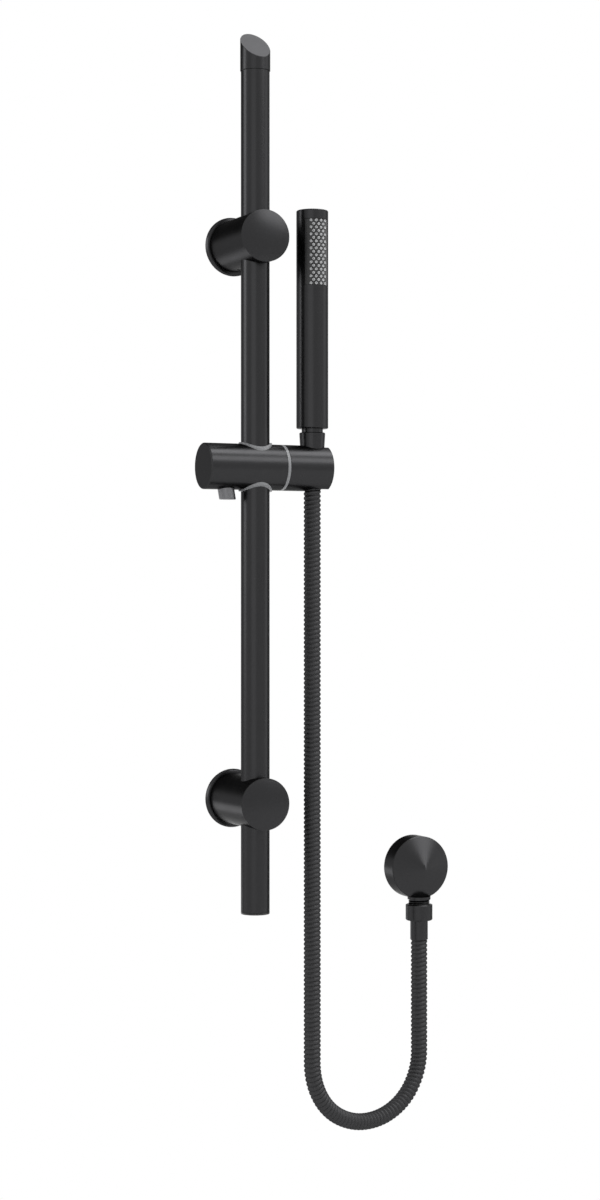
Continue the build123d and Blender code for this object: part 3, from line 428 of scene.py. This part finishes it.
@dataclass
class Studio:
    """Level camera in front and to the left, a pale floor, soft panels and a bright surround."""

    camera_place: tuple[float, float, float] = (-0.8015, -1.9034, 0.1757)
    camera_azimuth: float = -24.5
    lens_mm: float = 69.75
    floor_drop: float = 0.35
    floor_size: float = 14.0
    floor_roughness: float = 0.9
    # Radius where the floor's shadows end, and the share of it where they start to fade
    shadow_radius: float = 1.1
    shadow_fade: float = 0.6
    fill_light: float = 0.7
    # The surround darkens between these shares of the way up and of the way back, and keeps this
    # share of its brightness there
    dark_above: tuple[float, float] = (0.13, 0.27)
    dark_behind: tuple[float, float] = (0.55, 0.8)
    dark_share: float = 0.05
    panel_distance: float = 7.0
    cap: tuple[float, float, float] = (0.0, -0.051, 0.657)
    middle: tuple[float, float, float] = (0.09, -0.03, 0.22)

    def camera(self) -> None:
        """Add the camera."""
        lens = bpy.data.cameras.new("photo_camera")
        lens.lens = self.lens_mm
        camera = bpy.data.objects.new("photo_camera", lens)
        camera.location = self.camera_place
        camera.rotation_euler = (math.radians(90), 0, math.radians(self.camera_azimuth))
        bpy.context.scene.collection.objects.link(camera)
        bpy.context.scene.camera = camera

    def panel(
        self,
        name: str,
        towards: Vector,
        across: Vector,
        spread: tuple[float, float],
        level: float,
        aim: tuple[float, float, float] | None = None,
        distance: float | None = None,
    ) -> None:
        """Add a soft panel, by default far enough off that it lights every piece from one side.

        Args:
            name: Name of the light.
            towards: Direction from the object to the panel.
            across: Direction along the panel's width.
            spread: Width and height of the panel in degrees, as the object sees it.
            level: Brightness, where 1 is the brightness of the white surround.
            aim: Place on the object that it faces, the middle if left out.
            distance: Distance from there, the studio's own if left out.
        """
        reach = distance or self.panel_distance
        light = bpy.data.lights.new(name, "AREA")
        light.shape = "RECTANGLE"
        light.size, light.size_y = (2 * reach * math.tan(math.radians(s / 2)) for s in spread)
        light.energy = level * AREA_LIGHT_FACTOR * light.size * light.size_y
        lamp = bpy.data.objects.new(name, light)
        depth = towards.normalized()
        side = (across - depth * across.dot(depth)).normalized()
        turned = Matrix((side, depth.cross(side), depth)).transposed().to_4x4()
        lamp.matrix_world = Matrix.Translation(Vector(aim or self.middle) + depth * reach) @ turned
        bpy.context.scene.collection.objects.link(lamp)

    def lights(self) -> None:
        """Add the panels: two overhead, one in front, three at the left and one at the right."""
        x_axis, y_axis = Vector((1, 0, 0)), Vector((0, 1, 0))
        self.panel("overhead_panel", Vector((0.4, -0.17, 0.9)), x_axis, (40, 26), 4.1)
        self.panel("front_panel", Vector((0.516, -0.661, 0.545)), x_axis, (32, 21), 3.2)
        self.panel("left_strip", Vector((-0.91, 0.4, 0.26)), y_axis, (21, 30), 2.5)
        self.panel("front_left_panel", Vector((-0.6, -0.8, 0.06)), x_axis, (36, 30), 0.5)
        self.panel("right_panel", Vector((0.98, -0.19, 0.14)), y_axis, (30, 40), 0.7)
        # These two stand near: one shows in the cap's slant, the other in the outlet's rim
        over_cap, under_left = Vector((0.39, 0.28, 0.88)), Vector((-0.69, 1.93, -0.72))
        self.panel("cap_panel", over_cap, x_axis, (26, 22), 4.8, aim=self.cap, distance=0.7)
        self.panel("low_left_panel", under_left, x_axis, (24, 10), 2.7, distance=2.17)

    def surround(self) -> None:
        """Make the world: white where it is seen or mirrored, and a softer fill elsewhere."""
        world = bpy.data.worlds.new("studio_surround")
        bpy.context.scene.world = world
        world.use_nodes = True
        tree = world.node_tree
        rays = add_node(tree, "ShaderNodeLightPath")
        mirrored = add_node(
            tree,
            "ShaderNodeMath",
            settings={"operation": "MAXIMUM"},
            links={0: rays.outputs["Is Glossy Ray"], 1: rays.outputs["Is Transmission Ray"]},
        )
        seen = add_node(
            tree,
            "ShaderNodeMath",
            settings={"operation": "MAXIMUM"},
            links={0: rays.outputs["Is Camera Ray"], 1: mirrored.outputs["Value"]},
        )
        strength = add_node(
            tree,
            "ShaderNodeMapRange",
            values={"To Min": self.fill_light, "To Max": 1.0},
            links={"Value": seen.outputs["Value"]},
        )
        place = add_node(tree, "ShaderNodeTexCoord")
        direction = add_node(tree, "ShaderNodeSeparateXYZ", links={0: place.outputs["Object"]})
        high = add_node(
            tree,
            "ShaderNodeMapRange",
            values={"From Min": self.dark_above[0], "From Max": self.dark_above[1]},
            links={"Value": direction.outputs["Z"]},
        )
        behind = add_node(
            tree,
            "ShaderNodeMapRange",
            values={"From Min": self.dark_behind[0], "From Max": self.dark_behind[1]},
            links={"Value": direction.outputs["Y"]},
        )
        corner = add_node(
            tree,
            "ShaderNodeMath",
            settings={"operation": "MULTIPLY"},
            links={0: high.outputs["Result"], 1: behind.outputs["Result"]},
        )
        shaded = add_node(
            tree,
            "ShaderNodeMath",
            settings={"operation": "MULTIPLY"},
            links={0: corner.outputs["Value"], 1: rays.outputs["Is Glossy Ray"]},
        )
        share = add_node(
            tree,
            "ShaderNodeMapRange",
            values={"To Min": 1.0, "To Max": self.dark_share},
            links={"Value": shaded.outputs["Value"]},
        )
        level = add_node(
            tree,
            "ShaderNodeMath",
            settings={"operation": "MULTIPLY"},
            links={0: strength.outputs["Result"], 1: share.outputs["Result"]},
        )
        background = tree.nodes["Background"]
        background.inputs["Color"].default_value = linear("#ffffff")
        tree.links.new(level.outputs["Value"], background.inputs["Strength"])

    def floor(self) -> None:
        """Add the pale floor: it takes shadows under the object and is plain white further out."""
        deselect()
        low = cad_box[0].z - self.floor_drop
        middle = (cad_box[0] + cad_box[1]) / 2
        bpy.ops.mesh.primitive_plane_add(size=self.floor_size, location=(middle.x, middle.y, low))
        floor = bpy.context.active_object
        floor.name = floor.data.name = "studio_floor"
        material = bpy.data.materials.new("pale_studio_floor")
        material.use_nodes = True
        tree = material.node_tree
        matt = tree.nodes["Principled BSDF"]
        matt.inputs["Base Color"].default_value = linear("#f4f4f4")
        matt.inputs["Roughness"].default_value = self.floor_roughness
        place = add_node(tree, "ShaderNodeTexCoord")
        reach = add_node(
            tree,
            "ShaderNodeVectorMath",
            settings={"operation": "LENGTH"},
            links={0: place.outputs["Object"]},
        )
        far = add_node(
            tree,
            "ShaderNodeMapRange",
            values={
                "From Min": self.shadow_radius * self.shadow_fade,
                "From Max": self.shadow_radius,
            },
            links={"Value": reach.outputs["Value"]},
        )
        rays = add_node(tree, "ShaderNodeLightPath")
        seen = add_node(
            tree,
            "ShaderNodeMath",
            settings={"operation": "MULTIPLY"},
            links={0: rays.outputs["Is Camera Ray"], 1: far.outputs["Result"]},
        )
        white = add_node(
            tree, "ShaderNodeEmission", values={"Color": linear("#ffffff"), "Strength": 1.0}
        )
        mixed = add_node(
            tree,
            "ShaderNodeMixShader",
            links={0: seen.outputs["Value"], 1: matt.outputs["BSDF"], 2: white.outputs["Emission"]},
        )
        tree.links.new(mixed.outputs["Shader"], tree.nodes["Material Output"].inputs["Surface"])
        floor.data.materials.append(material)


@dataclass
class Hose:
    """Ribbed hose in four stretches."""

    diameter: float = 15.0 * MM
    rib_pitch: float = 3.95 * MM
    rib_depth: float = 0.9 * MM
    # The higher, the narrower the grooves between the ribs
    rib_sharpness: int = 4
    rib_steps: int = 12
    segments: int = 28
    # Heights where the stretches meet: under the swivel, and at the two ends of the bend
    top_low: float = 155.0 * MM
    bend_left: float = -240.0 * MM
    bend_right: float = -235.0 * MM
    # How far the bend follows the slider, as a share of the slider's travel
    bend_share: float = 0.3
    # Length of the flat blend that holds the whole bend at that share
    blend_reach: float = 4.0
    spline_steps: int = 48
    route_mm: tuple[tuple[float, float, float], ...] = (
        (54.5, -51.0, 273.0),
        (54.5, -51.0, -213.0),
        (54.5, -51.0, -247.0),
        (71.5, -46.0, -275.5),
        (102.0, -37.0, -291.2),
        (135.5, -27.2, -291.2),
        (163.3, -19.1, -277.0),
        (178.9, -14.5, -251.0),
        (178.9, -14.5, -220.0),
        (178.9, -14.5, -134.2),
    )

    def centreline(self) -> list[Vector]:
        """Read the hose's line from a NURBS spline with its route as control points.

        Returns:
            Points along the line, from the holder to the wall outlet.
        """
        data = bpy.data.curves.new("hose_route", "CURVE")
        data.dimensions = "3D"
        spline = data.splines.new("NURBS")
        spline.points.add(len(self.route_mm) - 1)
        for point, place in zip(spline.points, self.route_mm):
            point.co = (*(Vector(place) * MM), 1.0)
        spline.order_u = 3
        spline.use_endpoint_u = True
        spline.resolution_u = self.spline_steps
        holder = bpy.data.objects.new("hose_route", data)
        bpy.context.scene.collection.objects.link(holder)
        line = bpy.data.meshes.new_from_object(holder)
        points = [vertex.co.copy() for vertex in line.vertices]
        bpy.data.objects.remove(holder)
        bpy.data.meshes.remove(line)
        return points

    def lengths(self, line: list[Vector]) -> list[float]:
        """Add up the line.

        Args:
            line: Points along the line.

        Returns:
            The distance along the line at each of its points.
        """
        total = [0.0]
        for before, after in zip(line, line[1:]):
            total.append(total[-1] + (after - before).length)
        return total

    def frames(self, line: list[Vector]) -> list[tuple[Vector, Vector]]:
        """Carry a cross section along the line without twist.

        Args:
            line: Points along the line.

        Returns:
            The two axes across the line at each of its points.
        """
        found: list[tuple[Vector, Vector]] = []
        side = Vector((1, 0, 0))
        for index in range(len(line)):
            before = line[max(index - 1, 0)]
            after = line[min(index + 1, len(line) - 1)]
            along = (after - before).normalized()
            side = (side - along * side.dot(along)).normalized()
            found.append((side, along.cross(side)))
        return found

    def radius(self, travel: float, turn: float) -> float:
        """Work out the hose's radius over its winding rib.

        Args:
            travel: Distance along the hose.
            turn: Angle round it, in turns.

        Returns:
            The radius there.
        """
        phase = travel / self.rib_pitch - turn
        groove = abs(math.cos(math.pi * phase)) ** self.rib_sharpness
        return self.diameter / 2 - self.rib_depth * groove

    def locate(self, lengths: list[float], travel: float) -> tuple[int, float]:
        """Find a distance along the line between two of its points.

        Args:
            lengths: Distance along the line at each of its points.
            travel: The distance.

        Returns:
            The point before it, and its share of the way to the next one.
        """
        before = min(max(bisect_right(lengths, travel) - 1, 0), len(lengths) - 2)
        share = (travel - lengths[before]) / (lengths[before + 1] - lengths[before])
        return before, share

    def point_at(self, line: list[Vector], travel: float) -> Vector:
        """Return the point at a distance along the line."""
        before, share = self.locate(self.lengths(line), travel)
        return line[before].lerp(line[before + 1], share)

    def rings(
        self, mesh: bmesh.types.BMesh, line: list[Vector], start: float, end: float
    ) -> list[list[bmesh.types.BMVert]]:
        """Set out the rings of one stretch, each wound along the hose by one pitch.

        Args:
            mesh: Mesh that takes the vertices.
            line: The whole line of the hose.
            start: Distance along the line where the stretch starts.
            end: Distance where it ends.

        Returns:
            The vertices of each ring.
        """
        lengths = self.lengths(line)
        frames = self.frames(line)
        step = self.rib_pitch / self.rib_steps
        first = math.floor(start / step) - self.rib_steps
        last = math.ceil(end / step)
        found = []
        for index in range(first, last + 1):
            ring = []
            for spoke in range(self.segments):
                turn = spoke / self.segments
                travel = min(max(index * step + turn * self.rib_pitch, start), end)
                before, share = self.locate(lengths, travel)
                centre = line[before].lerp(line[before + 1], share)
                side, other = (
                    axis.lerp(next_axis, share).normalized()
                    for axis, next_axis in zip(frames[before], frames[before + 1])
                )
                angle = 2 * math.pi * turn
                out = side * math.cos(angle) + other * math.sin(angle)
                ring.append(mesh.verts.new(centre + out * self.radius(travel, turn)))
            found.append(ring)
        return found

    def stretch(self, name: str, line: list[Vector], start: float, end: float) -> bpy.types.Object:
        """Build one stretch of the hose as a closed mesh with one rib that winds along it.

        Args:
            name: Name of the stretch.
            line: The whole line of the hose.
            start: Distance along the line where the stretch starts.
            end: Distance where it ends.

        Returns:
            The stretch.
        """
        mesh = bmesh.new()
        rings = self.rings(mesh, line, start, end)
        for index in range(len(rings) - 1):
            for spoke in range(self.segments):
                later = index + self.rib_steps
                if spoke + 1 < self.segments:
                    near, far = rings[index][spoke + 1], rings[index + 1][spoke + 1]
                elif later + 1 < len(rings):
                    near, far = rings[later][0], rings[later + 1][0]
                else:
                    continue
                mesh.faces.new((rings[index][spoke], near, far, rings[index + 1][spoke]))
        bmesh.ops.remove_doubles(mesh, verts=mesh.verts, dist=WELD)
        bmesh.ops.dissolve_degenerate(mesh, dist=WELD, edges=mesh.edges)
        bmesh.ops.holes_fill(mesh, edges=[edge for edge in mesh.edges if edge.is_boundary], sides=0)
        bmesh.ops.recalc_face_normals(mesh, faces=mesh.faces)
        data = bpy.data.meshes.new(name)
        mesh.to_mesh(data)
        mesh.free()
        piece = bpy.data.objects.new(name, data)
        bpy.context.scene.collection.objects.link(piece)
        return piece

    def declare(
        self, line: list[Vector], start: float, end: float
    ) -> None:
        """Work out the path of a stretch along the line, from its start through the points inside
        it to its end; the path is not kept.

        Args:
            line: The whole line of the hose.
            start: Distance along the line where the stretch starts.
            end: Distance where it ends.
        """
        inside = [
            point
            for point, travel in zip(line, self.lengths(line))
            if start + WELD < travel < end - WELD
        ]
        path = [self.point_at(line, start), *inside, self.point_at(line, end)]

    def travel_at_height(self, line: list[Vector], height: float, falling: bool) -> float:
        """Find the distance along the line where it passes a height.

        Args:
            line: The whole line of the hose.
            height: The height.
            falling: True for the run that falls from the holder, False for the run that rises.

        Returns:
            The distance along the line.
        """
        lengths = self.lengths(line)
        for index in range(1, len(line)):
            before, after = line[index - 1], line[index]
            crosses = before.z >= height > after.z if falling else before.z < height <= after.z
            if crosses:
                share = (height - before.z) / (after.z - before.z)
                return lengths[index - 1] + share * (lengths[index] - lengths[index - 1])
        raise ValueError(f"the hose doesn't pass {height}")

    def build(self) -> None:
        """Build the four stretches, give each its finish and work out its path."""
        line = self.centreline()
        total = self.lengths(line)[-1]
        marks = [
            0.0,
            self.travel_at_height(line, self.top_low, falling=True),
            self.travel_at_height(line, self.bend_left, falling=True),
            self.travel_at_height(line, self.bend_right, falling=False),
            total,
        ]
        names = ("hose_top", "hose_long_run", "hose_bend", "hose_short_run")
        pieces = []
        for name, start, end in zip(names, marks, marks[1:]):
            piece = self.stretch(name, line, start, end)
            finish_piece(piece, HOSE_BLACK, None, ("hose",))
            self.declare(line, start, end)
            pieces.append(piece)
        top, long_run, bend, short_run = pieces
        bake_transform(top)
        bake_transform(long_run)
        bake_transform(bend)
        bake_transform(short_run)
        LOG.info("hose: %.3f m", total)


@dataclass
class Rail:
    """Rail with its cap, plug and two brackets."""

    # Height of the ring's edge chamfer, and how far it runs inward for that height
    ring_edge: float = 0.3 * MM
    ring_edge_slope: float = 1.7
    ring_taper: float = 21.0
    # How far the ring's bore bites into its bracket, so that no light shows between them
    ring_bite: float = 0.1 * MM
    ring_segments: int = 96

    def wall_ring(self, side: str) -> None:
        """Turn a wall ring that tapers away from the wall and closes on its bracket.

        Args:
            side: "lower" or "upper".
        """
        low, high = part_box(f"{side}_wall_ring")
        bracket_low, bracket_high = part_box(f"{side}_bracket_body")
        depth = high.y - low.y
        bore = (bracket_high.z - bracket_low.z) / 2 - self.ring_bite
        foot_radius = (high.x - low.x) / 2
        edge = depth - self.ring_edge
        top_radius = foot_radius - edge * math.tan(math.radians(self.ring_taper))
        profile = [
            (bore, 0.0),
            (foot_radius, 0.0),
            (top_radius, edge),
            (top_radius - self.ring_edge_slope * self.ring_edge, depth),
            (bore, depth),
        ]
        ring = lathe(f"{side}_wall_ring_turned", Vector((0, 0, 0)), profile, self.ring_segments)
        foot = Vector(((low.x + high.x) / 2, high.y, (low.z + high.z) / 2))
        ring.data.transform(Matrix.Translation(foot) @ Matrix.Rotation(math.radians(90), 4, "X"))
        finish_piece(ring, SATIN_BLACK, Body.RAIL, (f"{side}_wall_ring",))

    def build(self) -> None:
        """Turn the wall rings and dress the rail's other pieces."""
        dress(SATIN_BLACK, "rail_tube", "rail_top_cap")
        dress(BLACK_ABS, "rail_bottom_plug")
        for side in ("lower", "upper"):
            self.wall_ring(side)
            dress(SATIN_BLACK, f"{side}_bracket_body")
            dress(RAW_BRASS, f"{side}_wall_boss")
            dress(ZINC_STEEL, f"{side}_boss_grub_screw", f"{side}_rail_grub_screw")


@dataclass
class Slider:
    """Slider with its liner, brake and release button, and the swivel holder."""

    spring_wire: float = 1.0 * MM
    spring_turns: float = 4.5
    turn_steps: int = 24
    wire_segments: int = 10
    # How far the spring shortens: the brake shoe's own travel and a hair more
    shoe_travel: float = 1.04 * MM

    def spring(self) -> None:
        """Wind the brake spring and lay it along the bar."""
        low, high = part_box("brake_spring")
        foot = Vector((low.x, (low.y + high.y) / 2, (low.z + high.z) / 2))
        deselect()
        bpy.ops.mesh.primitive_circle_add(
            vertices=self.wire_segments,
            radius=self.spring_wire / 2,
            location=((high.z - low.z - self.spring_wire) / 2, 0, self.spring_wire / 2),
            rotation=(math.radians(90), 0, 0),
        )
        coil = bpy.context.active_object
        coil.name = coil.data.name = "brake_spring_coil"
        bpy.ops.object.transform_apply(location=True, rotation=True)
        winding = coil.modifiers.new("winding", "SCREW")
        winding.axis = "Z"
        winding.angle = 2 * math.pi * self.spring_turns
        winding.screw_offset = high.x - low.x - self.spring_wire
        winding.steps = winding.render_steps = round(self.turn_steps * self.spring_turns)
        bpy.ops.object.modifier_apply(modifier=winding.name)
        close_ends()
        coil.data.transform(Matrix.Translation(foot) @ Matrix.Rotation(math.radians(90), 4, "Y"))
        finish_piece(coil, ZINC_STEEL, Body.SLIDER, ("brake_spring",))
        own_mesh(coil)

    def build(self) -> None:
        """Wind the spring and dress the slider's and the holder's pieces."""
        self.spring()
        dress(SATIN_BLACK, "slider_body", "holder_body")
        dress(GREY_ACETAL, "rail_liner", "separator_ring", "swivel_washer")
        dress(BLASTED_STEEL, "release_button")
        dress(ZINC_STEEL, "button_clip", "swivel_axle", "holder_grub_screw")
        dress(BLACK_ABS, "brake_shoe")


@dataclass
class HandShower:
    """Stick-shaped hand shower with its spray face, and the tapered hose nut under it."""

    axis_x: float = 54.5 * MM
    axis_y: float = -51.0 * MM
    mat_radius: float = 11.9 * MM
    mat_thickness: float = 0.8 * MM
    mat_half_angle: float = 50.0
    rows: int = 19
    row_pitch: float = 3.05 * MM
    column_angle: float = 19.7
    # Columns of the rows in turn, counted from the middle
    wide_row: tuple[float, ...] = (-1.5, -0.5, 0.5, 1.5)
    narrow_row: tuple[float, ...] = (-1.0, 0.0, 1.0)
    # Radius and height of each ring of a nozzle, from its root over its lip and down its bore
    nozzle_rings_mm: tuple[tuple[float, float], ...] = (
        (1.6, -0.4),
        (1.6, 0.2),
        (1.28, 0.5),
        (1.25, 1.8),
        (1.15, 2.04),
        (0.92, 2.2),
        (0.6, 2.2),
        (0.4, 2.06),
        (0.34, 1.5),
    )
    nozzle_segments: int = 16
    mat_steps: int = 24

    def nozzle(self) -> bpy.types.Object:
        """Model one nozzle that stands on the origin and points up."""
        rings = [(radius * MM, height * MM) for radius, height in self.nozzle_rings_mm]
        return lathe("nozzle", Vector((0, 0, 0)), rings, self.nozzle_segments)

    def place(self, angle: float, height: float) -> Matrix:
        """Work out the placing of a nozzle.

        Args:
            angle: Its angle from the front, in degrees.
            height: Its height.

        Returns:
            The matrix that takes it there from the origin.
        """
        turn = math.radians(angle)
        out = Vector((math.sin(turn), -math.cos(turn), 0))
        centre = Vector((self.axis_x, self.axis_y, height)) + out * self.mat_radius
        return Matrix.Translation(centre) @ out.to_track_quat("Z", "Y").to_matrix().to_4x4()

    def mat(self, low: float, high: float) -> bpy.types.Object:
        """Spin the mat behind the spray plate from an upright strip.

        Args:
            low: Height of its lower edge.
            high: Height of its upper edge.

        Returns:
            The curved mat.
        """
        deselect()
        bpy.ops.mesh.primitive_plane_add(size=1.0)
        mat = bpy.context.active_object
        inner = self.mat_radius - self.mat_thickness
        turn = math.radians(-90 - self.mat_half_angle)
        out = Vector((math.cos(turn), math.sin(turn), 0))
        axis = Vector((self.axis_x, self.axis_y, 0))
        corners = ((inner, low), (self.mat_radius, low), (inner, high), (self.mat_radius, high))
        for vertex, (radius, height) in zip(mat.data.vertices, corners):
            vertex.co = axis + out * radius + Vector((0, 0, height))
        bpy.ops.object.mode_set(mode="EDIT")
        bpy.ops.mesh.select_all(action="SELECT")
        bpy.ops.mesh.spin(
            steps=self.mat_steps,
            angle=math.radians(2 * self.mat_half_angle),
            center=axis,
            axis=(0, 0, 1),
        )
        bpy.ops.mesh.select_all(action="SELECT")
        bpy.ops.mesh.normals_make_consistent(inside=False)
        bpy.ops.object.mode_set(mode="OBJECT")
        return mat

    def build(self) -> None:
        """Build the nozzles and their mat, and dress the rest."""
        low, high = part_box("nozzle_mat")
        middle = (low.z + high.z) / 2
        model = self.nozzle()
        parts = [self.mat(low.z, high.z)]
        for row in range(self.rows):
            height = middle + (row - (self.rows - 1) / 2) * self.row_pitch
            for column in self.narrow_row if row % 2 else self.wide_row:
                copy = bpy.data.objects.new("nozzle", model.data.copy())
                copy.data.transform(self.place(column * self.column_angle, height))
                bpy.context.scene.collection.objects.link(copy)
                parts.append(copy)
        bpy.data.objects.remove(model)
        field = join(parts, "nozzle_field")
        finish_piece(field, GREY_SILICONE, Body.HOLDER, ("nozzle_mat",))
        dress(SATIN_BLACK, "handset_body", "handset_neck", "hose_cone_nut")
        dress(BLACK_ABS, "spray_plate", "upper_hose_tail")
        dress(SEAL_RUBBER, "upper_hose_washer")


@dataclass
class Outlet:
    """Round wall outlet with its threaded connector, hose nut, ferrule and supply nipple."""

    thread_pitch: float = 1.814 * MM
    thread_depth: float = 0.8 * MM
    collar_height: float = 2.4 * MM
    valve_length: float = 11.0 * MM
    # Radii of the connector's thread, valve bore and waterway
    connector_crest: float = 9.9 * MM
    connector_bore: float = 6.5 * MM
    connector_way: float = 2.9 * MM
    # Radii of the nipple's plain shank and bore, and the chamfer at its end
    nipple_shank: float = 9.9 * MM
    nipple_bore: float = 7.5 * MM
    nipple_chamfer: float = 0.6 * MM
    segments: int = 64

    def thread(self, name: str, origin: Vector, crest: float, turns: int) -> bpy.types.Object:
        """Screw one of the outlet's two threads, which share their pitch and depth."""
        return thread_ridge(name, origin, crest, self.thread_pitch, turns, self.thread_depth)

    def connector(self) -> bpy.types.Object:
        """Turn the connector between the outlet and the hose nut, with its thread.

        Returns:
            The connector.
        """
        low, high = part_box("outlet_connector")
        centre = Vector(((low.x + high.x) / 2, (low.y + high.y) / 2, low.z))
        collar = (high.x - low.x) / 2
        height = high.z - low.z
        root = self.connector_crest - self.thread_depth
        foot = height - self.collar_height
        profile = [
            (root, 0.0),
            (root, foot),
            (collar, foot),
            (collar, height),
            (self.connector_way, height),
            (self.connector_way, self.valve_length),
            (self.connector_bore, self.valve_length),
            (self.connector_bore, 0.0),
        ]
        body = lathe("connector_body", centre, profile, self.segments)
        turns = int(foot / self.thread_pitch) - 1
        start = centre + Vector((0, 0, foot - (turns + THREAD_FLANK) * self.thread_pitch))
        ridge = self.thread("connector_thread", start, self.connector_crest, turns)
        return join([body, ridge], "outlet_connector_threaded")

    def nipple(self) -> bpy.types.Object:
        """Turn the supply nipple at the back of the outlet, with its thread, and lay it along Y.

        Returns:
            The nipple.
        """
        low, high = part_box("inlet_nipple")
        centre = Vector(((low.x + high.x) / 2, low.y, (low.z + high.z) / 2))
        crest = (high.x - low.x) / 2
        length = high.y - low.y
        root = crest - self.thread_depth
        shoulder = -low.y
        profile = [
            (self.nipple_shank, 0.0),
            (self.nipple_shank, shoulder),
            (root, shoulder),
            (root, length - self.nipple_chamfer),
            (root - self.nipple_chamfer, length),
            (self.nipple_bore, length),
            (self.nipple_bore, 0.0),
        ]
        body = lathe("nipple_body", Vector((0, 0, 0)), profile, self.segments)
        turns = int((length - shoulder) / self.thread_pitch) - 1
        start = Vector((0, 0, shoulder + THREAD_FLANK * self.thread_pitch))
        ridge = self.thread("nipple_thread", start, crest, turns)
        whole = join([body, ridge], "inlet_nipple_threaded")
        lay_back = Matrix.Rotation(math.radians(-90), 4, "X")
        whole.data.transform(Matrix.Translation(centre) @ lay_back)
        return whole

    def build(self) -> None:
        """Build the threaded pieces and dress the rest."""
        finish_piece(self.connector(), SATIN_BLACK, Body.RAIL, ("outlet_connector",))
        finish_piece(self.nipple(), RAW_BRASS, Body.RAIL, ("inlet_nipple",))
        dress(SATIN_BLACK, "outlet_body", "lower_hose_nut", "lower_hose_ferrule")
        dress(SEAL_RUBBER, "wall_gasket", "lower_hose_washer")
        dress(BLACK_ABS, "check_valve")


def main() -> None:
    """Build the studio and every sub-assembly."""
    logging.basicConfig(level=logging.INFO, format="%(name)s: %(message)s")
    bpy.context.scene.view_settings.view_transform = "Standard"
    studio = Studio()
    studio.camera()
    Hose().build()
    for assembly in (Rail(), Slider(), HandShower(), Outlet()):
        assembly.build()
    studio.lights()
    studio.surround()
    studio.floor()


if __name__ == "__main__":
    main()
